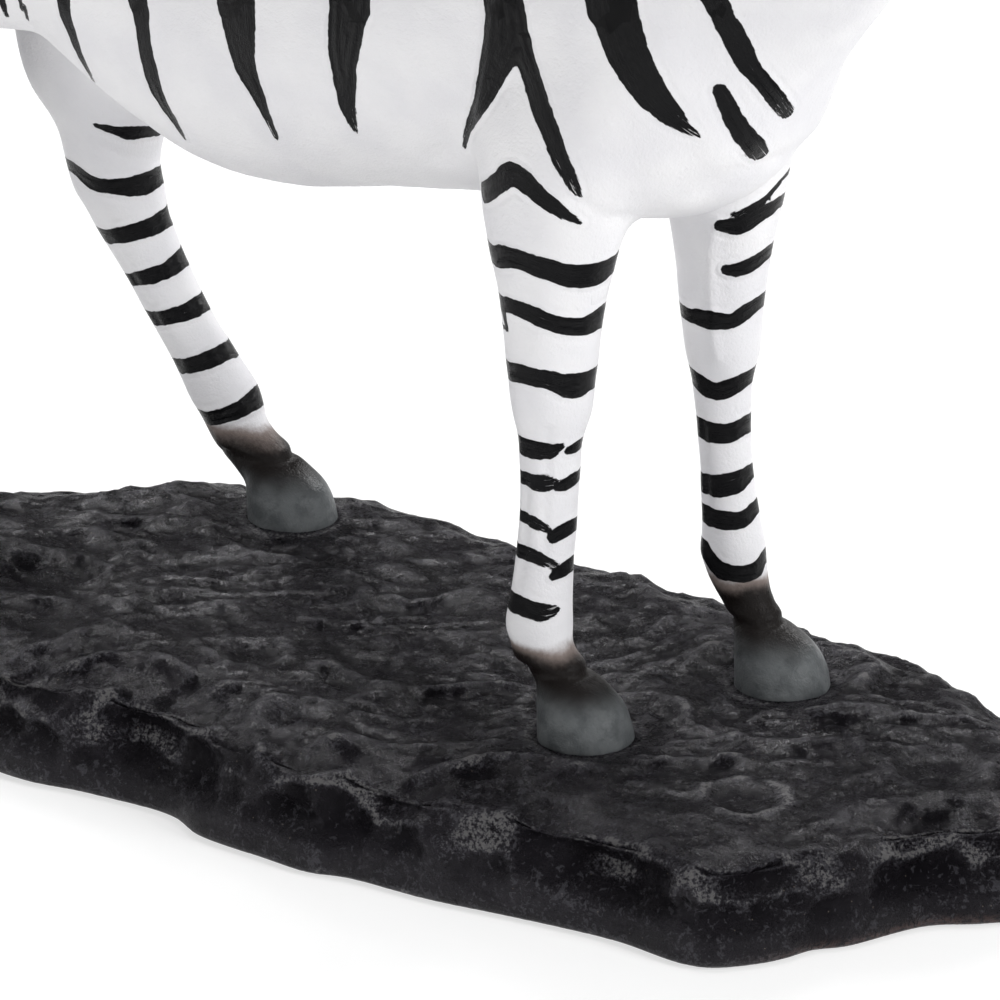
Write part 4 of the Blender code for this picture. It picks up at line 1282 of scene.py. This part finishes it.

# %% [markdown]
# A nearly dry brush with grey paint was dragged over the rock. It marks the ridges and misses the
# hollows. How much a place stands out is measured against the mean of the places around it. On the
# sloping facets of the rim and in a ring round one dent, the pale paint is also a painted highlight.

# %%
AROUND_ROUNDS = 8  # how many corners away the places around reach
around = rock_points
for _ in range(AROUND_ROUNDS):
    around = neighbour_mean(around, rock_edges)
standing_out = ((rock_points - around) * rock_normals).sum(1)
above_foot = rock_points[:, 2] - ROCK_BOTTOM
forward, side, radius, _ = DENTS[0]  # the dent that shows most, with a painted highlight in a ring round its rim
from_dent = from_post(rock_points, forward, side) / radius
# a painted highlight in a ring round the rim of that dent
dent_ring_highlight = hump(from_dent - 1.04, 0.17) * np.clip(0.7 + 0.9 * wavering(rock_points, 5, 37), 0, 1)
# facets of the rim that slope at about 60 degrees: grey dry-brush with a painted highlight on it
facet_drybrush_and_highlight = hump(rock_normals[:, 2] - 0.5, 0.3) * eased((above_foot - 7) / 4)
rim_catch = facet_drybrush_and_highlight * np.clip(0.45 + 1.3 * wavering(rock_points, 11, 36), 0, 1) + 0.9 * dent_ring_highlight
# a pale glue line round each hoof
rim_catch = rim_catch + 0.8 * hump(hoof_places(rock_points - (2, 0, 0))[1] - 1.1, 0.13)
foot_wear = (wall + (rock_normals[:, 2] < 0)) * hump(above_foot, 1.6)
foot_wear = foot_wear * eased((rock_points[:, 0] - 48) / 12)
store(rock, standing_out=standing_out, wall=wall, rim_catch=rim_catch, foot_wear=foot_wear)
print("ridges stand out by up to", standing_out.max().round(2), "mm")

# %% [markdown]
# ## Paint
#
# A few helpers keep the node trees short: one links or fills in a node's sockets, one adds a node, and
# the others are for sums, ramps and noise. Positions are turned into millimetres first, so that the
# size of every pattern can be read off directly.

# %%
def fill_in(tree, node, sockets):
    """Links each named socket of the node to another, or sets it where a plain value is given."""
    for name, value in sockets.items():
        if isinstance(value, bpy.types.NodeSocket):
            tree.links.new(value, node.inputs[name])
        else:
            node.inputs[name].default_value = value


def add(tree, kind, sockets, **settings):
    made = tree.nodes.new(kind)
    for name, value in settings.items():
        setattr(made, name, value)
    fill_in(tree, made, sockets)
    return made


def maths(operation, first, second=0.0):
    """One sum. Its node goes into the tree of whichever value is a socket, as in the helpers below."""
    tree = (first if isinstance(first, bpy.types.NodeSocket) else second).id_data
    return add(tree, "ShaderNodeMath", {0: first, 1: second}, operation=operation).outputs[0]


def plus(total, *others):
    for other in others:
        total = maths("ADD", total, other)
    return total


def times(product, *others):
    for other in others:
        product = maths("MULTIPLY", product, other)
    return product


def minus(first, second):
    return maths("SUBTRACT", first, second)


def swing(value, strength):
    """A pattern between 0 and 1 as a push up or down from its middle."""
    return times(minus(value, 0.5), strength)


def ramp(value, low, high, to_low=0.0, to_high=1.0):
    made = add(value.id_data, "ShaderNodeMapRange", {
        "Value": value, "From Min": low, "From Max": high, "To Min": to_low, "To Max": to_high,
    }, interpolation_type="SMOOTHSTEP")
    return made.outputs["Result"]


def blend(share, first, second):
    made = add(share.id_data, "ShaderNodeMix", {0: share, 6: first, 7: second}, data_type="RGBA")
    return made.outputs[2]


def attribute(tree, name):
    return add(tree, "ShaderNodeAttribute", {}, attribute_name=name).outputs["Fac"]


def vectors(operation, sockets):
    return add(sockets[0].id_data, "ShaderNodeVectorMath", sockets, operation=operation).outputs[0]


def in_millimetres(tree):
    place = add(tree, "ShaderNodeTexCoord", {}).outputs["Object"]
    return vectors("SCALE", {0: place, "Scale": 1000.0})


def grain(place, per_millimetre, detail=2.0, roughness=0.5):
    made = add(place.id_data, "ShaderNodeTexNoise", {
        "Vector": place, "Scale": per_millimetre, "Detail": detail, "Roughness": roughness,
    })
    return made.outputs["Fac"]


def raised(height, distance):
    sockets = {"Height": height, "Distance": distance, "Strength": 1.0}
    return add(height.id_data, "ShaderNodeBump", sockets).outputs["Normal"]


def new_paint(name):
    made = bpy.data.materials.new(name)
    made.use_nodes = True
    return made, made.node_tree, made.node_tree.nodes["Principled BSDF"]

# %% [markdown]
# ### The zebra's paint
#
# White satin paint was brushed over the whole animal, and the stripes went on in thicker, glossier
# black. The edge of a stroke wavers a little, its bristles leave streaks along it, and where the
# brush ran dry the white shows through. The hooves are grey with lighter, dry streaks down them.

# %%
PAINT_SPREAD = 0.3  # how far the paint runs beyond the stroke's drawn edge, in millimetres
WHITE = (0.85, 0.845, 0.86, 1)
WHITE_SHADE = (0.79, 0.785, 0.81, 1)
INK = (0.0035, 0.0035, 0.0042, 1)
WORN_INK = (0.024, 0.023, 0.024, 1)
WARM_GREY = (0.22, 0.18, 0.165, 1)
SPRAYED_BLACK = (0.009, 0.007, 0.0065, 1)
SLATE = (0.118, 0.126, 0.13, 1)
SLATE_DARK = (0.078, 0.084, 0.088, 1)
SLATE_LIGHT = (0.17, 0.182, 0.18, 1)


def zebra_paint():
    paint, tree, shader = new_paint("zebra_paint")
    place = in_millimetres(tree)
    gap, dry = attribute(tree, "stroke_edge"), attribute(tree, "stroke_dryness")
    soot, spray, hoof = (attribute(tree, name) for name in ("soot", "spray", "hoof"))
    streak_place = add(tree, "ShaderNodeCombineXYZ", {
        0: times(attribute(tree, "stroke_across"), 4.2),
        1: times(attribute(tree, "stroke_along"), 0.22),
    }).outputs[0]
    bristles = grain(streak_place, 1.0, 3.0, 0.6)
    waver = swing(grain(place, 0.45, 3.0), 0.75)
    hairs = times(swing(bristles, 0.9), plus(times(dry, 0.8), 0.3))
    ink = ramp(plus(minus(gap, PAINT_SPREAD), waver, hairs), -0.06, 0.07, 1.0, 0.0)
    bare = ramp(plus(bristles, times(dry, 0.14)), 0.72, 0.78)
    ink = times(ink, minus(1.0, times(bare, 0.85)))
    black = maths("MAXIMUM", ink, soot)
    mottle = grain(place, 0.9, 4.0, 0.65)
    white = blend(ramp(grain(place, 0.06, 2.0), 0.35, 0.65), WHITE_SHADE, WHITE)
    fade = plus(spray, swing(mottle, 0.25))
    colour = blend(ramp(fade, 0.06, 0.5), white, WARM_GREY)
    colour = blend(ramp(fade, 0.38, 0.92), colour, SPRAYED_BLACK)
    worn = blend(ramp(bristles, 0.56, 0.76, 0.0, 0.5), INK, WORN_INK)
    colour = blend(black, colour, worn)
    down = vectors("MULTIPLY", {0: place, 1: (1.3, 1.3, 0.25)})
    streaks = grain(down, 0.9, 4.0, 0.7)
    cloudy = grain(place, 0.3, 3.0, 0.55)
    horn = blend(ramp(cloudy, 0.35, 0.62), SLATE_DARK, SLATE)
    horn = blend(ramp(streaks, 0.6, 0.8, 0.0, 0.6), horn, SLATE_LIGHT)
    colour = blend(hoof, colour, horn)
    rough = minus(0.42, times(black, 0.19))
    rough = plus(rough, swing(mottle, 0.12))
    rough = minus(rough, times(hoof, 0.12))
    close = ramp(gap, 0.0, 3.2, 1.0, 0.0)
    close = times(close, ramp(grain(place, 0.07, 1.0), 0.42, 0.62, 0.25, 1.0))
    ridges = times(maths("SINE", times(gap, 3.6)), close, 0.25)
    brushwork = times(grain(place, 0.55, 4.0, 0.6), 0.5)
    pits = times(grain(place, 2.2, 3.0, 0.65), 0.24)
    relief = plus(ridges, brushwork, times(ink, 0.22), times(bristles, ink, 0.5), pits)
    fill_in(tree, shader, {
        "Base Color": colour, "Roughness": rough, "IOR": 1.48, "Specular IOR Level": 0.13,
        "Normal": raised(relief, 0.00036),
    })
    return paint

# %% [markdown]
# ### The rock's paint
#
# Near-black satin paint with a slight violet cast went on first. Grey was dry-brushed over the ridges
# and the broken rim, and dabbed on in small clusters. The wall stayed plainer, and where the foot rubs
# on a shelf the reddish ground coat shows. Fine specks are dust caught in the wet paint. On the sloping
# facets of the rim and the highest ridges, the pale grey is a painted highlight.

# %%
ROCK_BLACK = (0.0026, 0.0021, 0.0031, 1)
ROCK_DARK = (0.0082, 0.0067, 0.0098, 1)
ROCK_WALL_PAINT = (0.0105, 0.0092, 0.0115, 1)
ROCK_GREY = (0.076, 0.075, 0.085, 1)
# pale grey, also a painted highlight on the rim facets and the highest ridges
ROCK_PALE_AND_HIGHLIGHT = (0.26, 0.255, 0.25, 1)
GROUND_COAT = (0.12, 0.075, 0.065, 1)
DUST = (0.3, 0.25, 0.2, 1)


def rock_paint():
    paint, tree, shader = new_paint("rock_paint")
    place = in_millimetres(tree)
    cloud = grain(place, 0.11, 4.0, 0.6)
    colour = blend(ramp(cloud, 0.38, 0.66), ROCK_BLACK, ROCK_DARK)
    colour = blend(times(attribute(tree, "wall"), 0.6), colour, ROCK_WALL_PAINT)
    kneaded = add(tree, "ShaderNodeTexNoise", {"Vector": place, "Scale": 0.35, "Detail": 3.0})
    push = vectors("SCALE", {0: kneaded.outputs["Color"], "Scale": 5.0})
    swirl = vectors("ADD", {0: place, 1: push})
    ragged = grain(swirl, 1.05, 6.0, 0.74)
    flecks = grain(place, 1.7, 5.0, 0.72)
    patches = grain(swirl, 0.14, 2.0, 0.5)
    # where grey is dry-brushed on, and on the rim also where a painted highlight goes
    catch = times(attribute(tree, "standing_out"), 0.55)
    catch = plus(catch, ragged, swing(flecks, 0.75), swing(patches, 0.5))
    rim_paint_and_highlight = times(attribute(tree, "rim_catch"), ramp(flecks, 0.36, 0.6, 0.3, 1.0), 0.52)
    catch = plus(catch, rim_paint_and_highlight)
    colour = blend(ramp(catch, 0.73, 0.765, 0.0, 0.85), colour, ROCK_GREY)
    dabs = plus(grain(swirl, 0.85, 3.0, 0.55), swing(patches, 0.32))
    colour = blend(ramp(dabs, 0.605, 0.622, 0.0, 0.75), colour, ROCK_GREY)
    # pale paint where the grey is thickest: a painted highlight on the rim facets and ridges
    colour = blend(ramp(catch, 0.87, 0.91, 0.0, 0.75), colour, ROCK_PALE_AND_HIGHLIGHT)
    worn = times(attribute(tree, "foot_wear"), ramp(ragged, 0.42, 0.6))
    colour = blend(worn, colour, GROUND_COAT)
    from_speck = add(tree, "ShaderNodeTexVoronoi", {"Vector": place, "Scale": 0.42}).outputs["Distance"]
    colour = blend(ramp(from_speck, 0.035, 0.06, 0.7, 0.0), colour, DUST)
    coarse = times(grain(swirl, 0.45, 6.0, 0.7), 2.0)
    flakes = times(maths("ABSOLUTE", minus(ragged, 0.5)), -2.2)
    relief = plus(coarse, flakes, times(flecks, 0.9))
    fill_in(tree, shader, {
        "Base Color": colour, "Roughness": ramp(catch, 0.5, 0.9, 0.27, 0.5), "IOR": 1.5,
        "Specular IOR Level": 0.3, "Specular Tint": (0.93, 0.88, 1, 1),
        "Normal": raised(relief, 0.0015),
    })
    return paint


def finished(name, mesh, points, paint, node):
    """The painted piece in its place in the model's frame, standing for its CAD node."""
    write_points(mesh, points * MILLIMETRE + np.array(DRAWING_ORIGIN))
    mesh.materials.clear()
    mesh.materials.append(paint)
    mesh.shade_smooth()
    made = placed(name, mesh)
    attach(made, "root")
    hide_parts(node)
    mesh.calc_loop_triangles()
    print(name, len(mesh.loop_triangles), "triangles")


finished("painted_zebra", skin, points, zebra_paint(), "zebra")
finished("painted_rock", rock, rock_points, rock_paint(), "rock_base")

# %% [markdown]
# ## Floor and light
#
# A plain floor that glows a little gives the white ground of the picture. The lamps are soft: a broad
# one overhead, a strong one from the camera's right that gives the hooves their highlight, a weaker one
# from the left, a low one beside the camera for the belly, and two behind for the far outline.

# %%
FLOOR_REACH = 6
floor_mesh = bpy.data.meshes.new("floor")
floor_corners = [(x * FLOOR_REACH, y * FLOOR_REACH, 0) for x, y in ((-1, -1), (1, -1), (1, 1), (-1, 1))]
floor_mesh.from_pydata(floor_corners, [], [(0, 1, 2, 3)])
floor = placed("floor", floor_mesh)
floor_paint, floor_tree, floor_shader = new_paint("floor_paint")
fill_in(floor_tree, floor_shader, {
    "Base Color": (0.42, 0.42, 0.42, 1), "Roughness": 0.9,
    "Emission Color": (1, 1, 1, 1), "Emission Strength": 0.62,
})
floor_mesh.materials.append(floor_paint)

LIT_POINT = Vector((-0.03, 0, 0.08))  # the point that all lamps face, in metres
LIGHTS = (  # name, degrees round from the camera and up, distance, size, power
    ("key", 58, 26, 1.3, 0.4, 8.6),
    ("fill", -62, 16, 1.5, 0.9, 5),
    ("front", 4, 3, 1.5, 0.6, 4.6),
    ("overhead", 95, 80, 1.4, 0.8, 8),
    ("back_left", -150, 25, 1.5, 0.35, 11),
    ("back_right", 145, 25, 1.5, 0.35, 9),
)
for light_name, turn, elevation, distance, size, power in LIGHTS:
    azimuth = CAMERA_ROUND + math.radians(turn)
    climb = math.radians(elevation)
    way = Vector((
        math.sin(azimuth) * math.cos(climb), -math.cos(azimuth) * math.cos(climb), math.sin(climb)
    ))
    lamp = bpy.data.lights.new(light_name, "AREA")
    lamp.shape = "DISK"
    lamp.size = size
    lamp.energy = power
    holder = placed(light_name, lamp)
    holder.location = DRAWING_ORIGIN + LIT_POINT + way * distance
    holder.rotation_euler = way.to_track_quat("Z", "Y").to_euler()

world = bpy.data.worlds.new("studio")
bpy.context.scene.world = world
world.use_nodes = True
sky = world.node_tree.nodes["Background"]
fill_in(world.node_tree, sky, {"Color": (1, 1, 1, 1), "Strength": 0.13})
bpy.context.scene.view_settings.view_transform = "Standard"
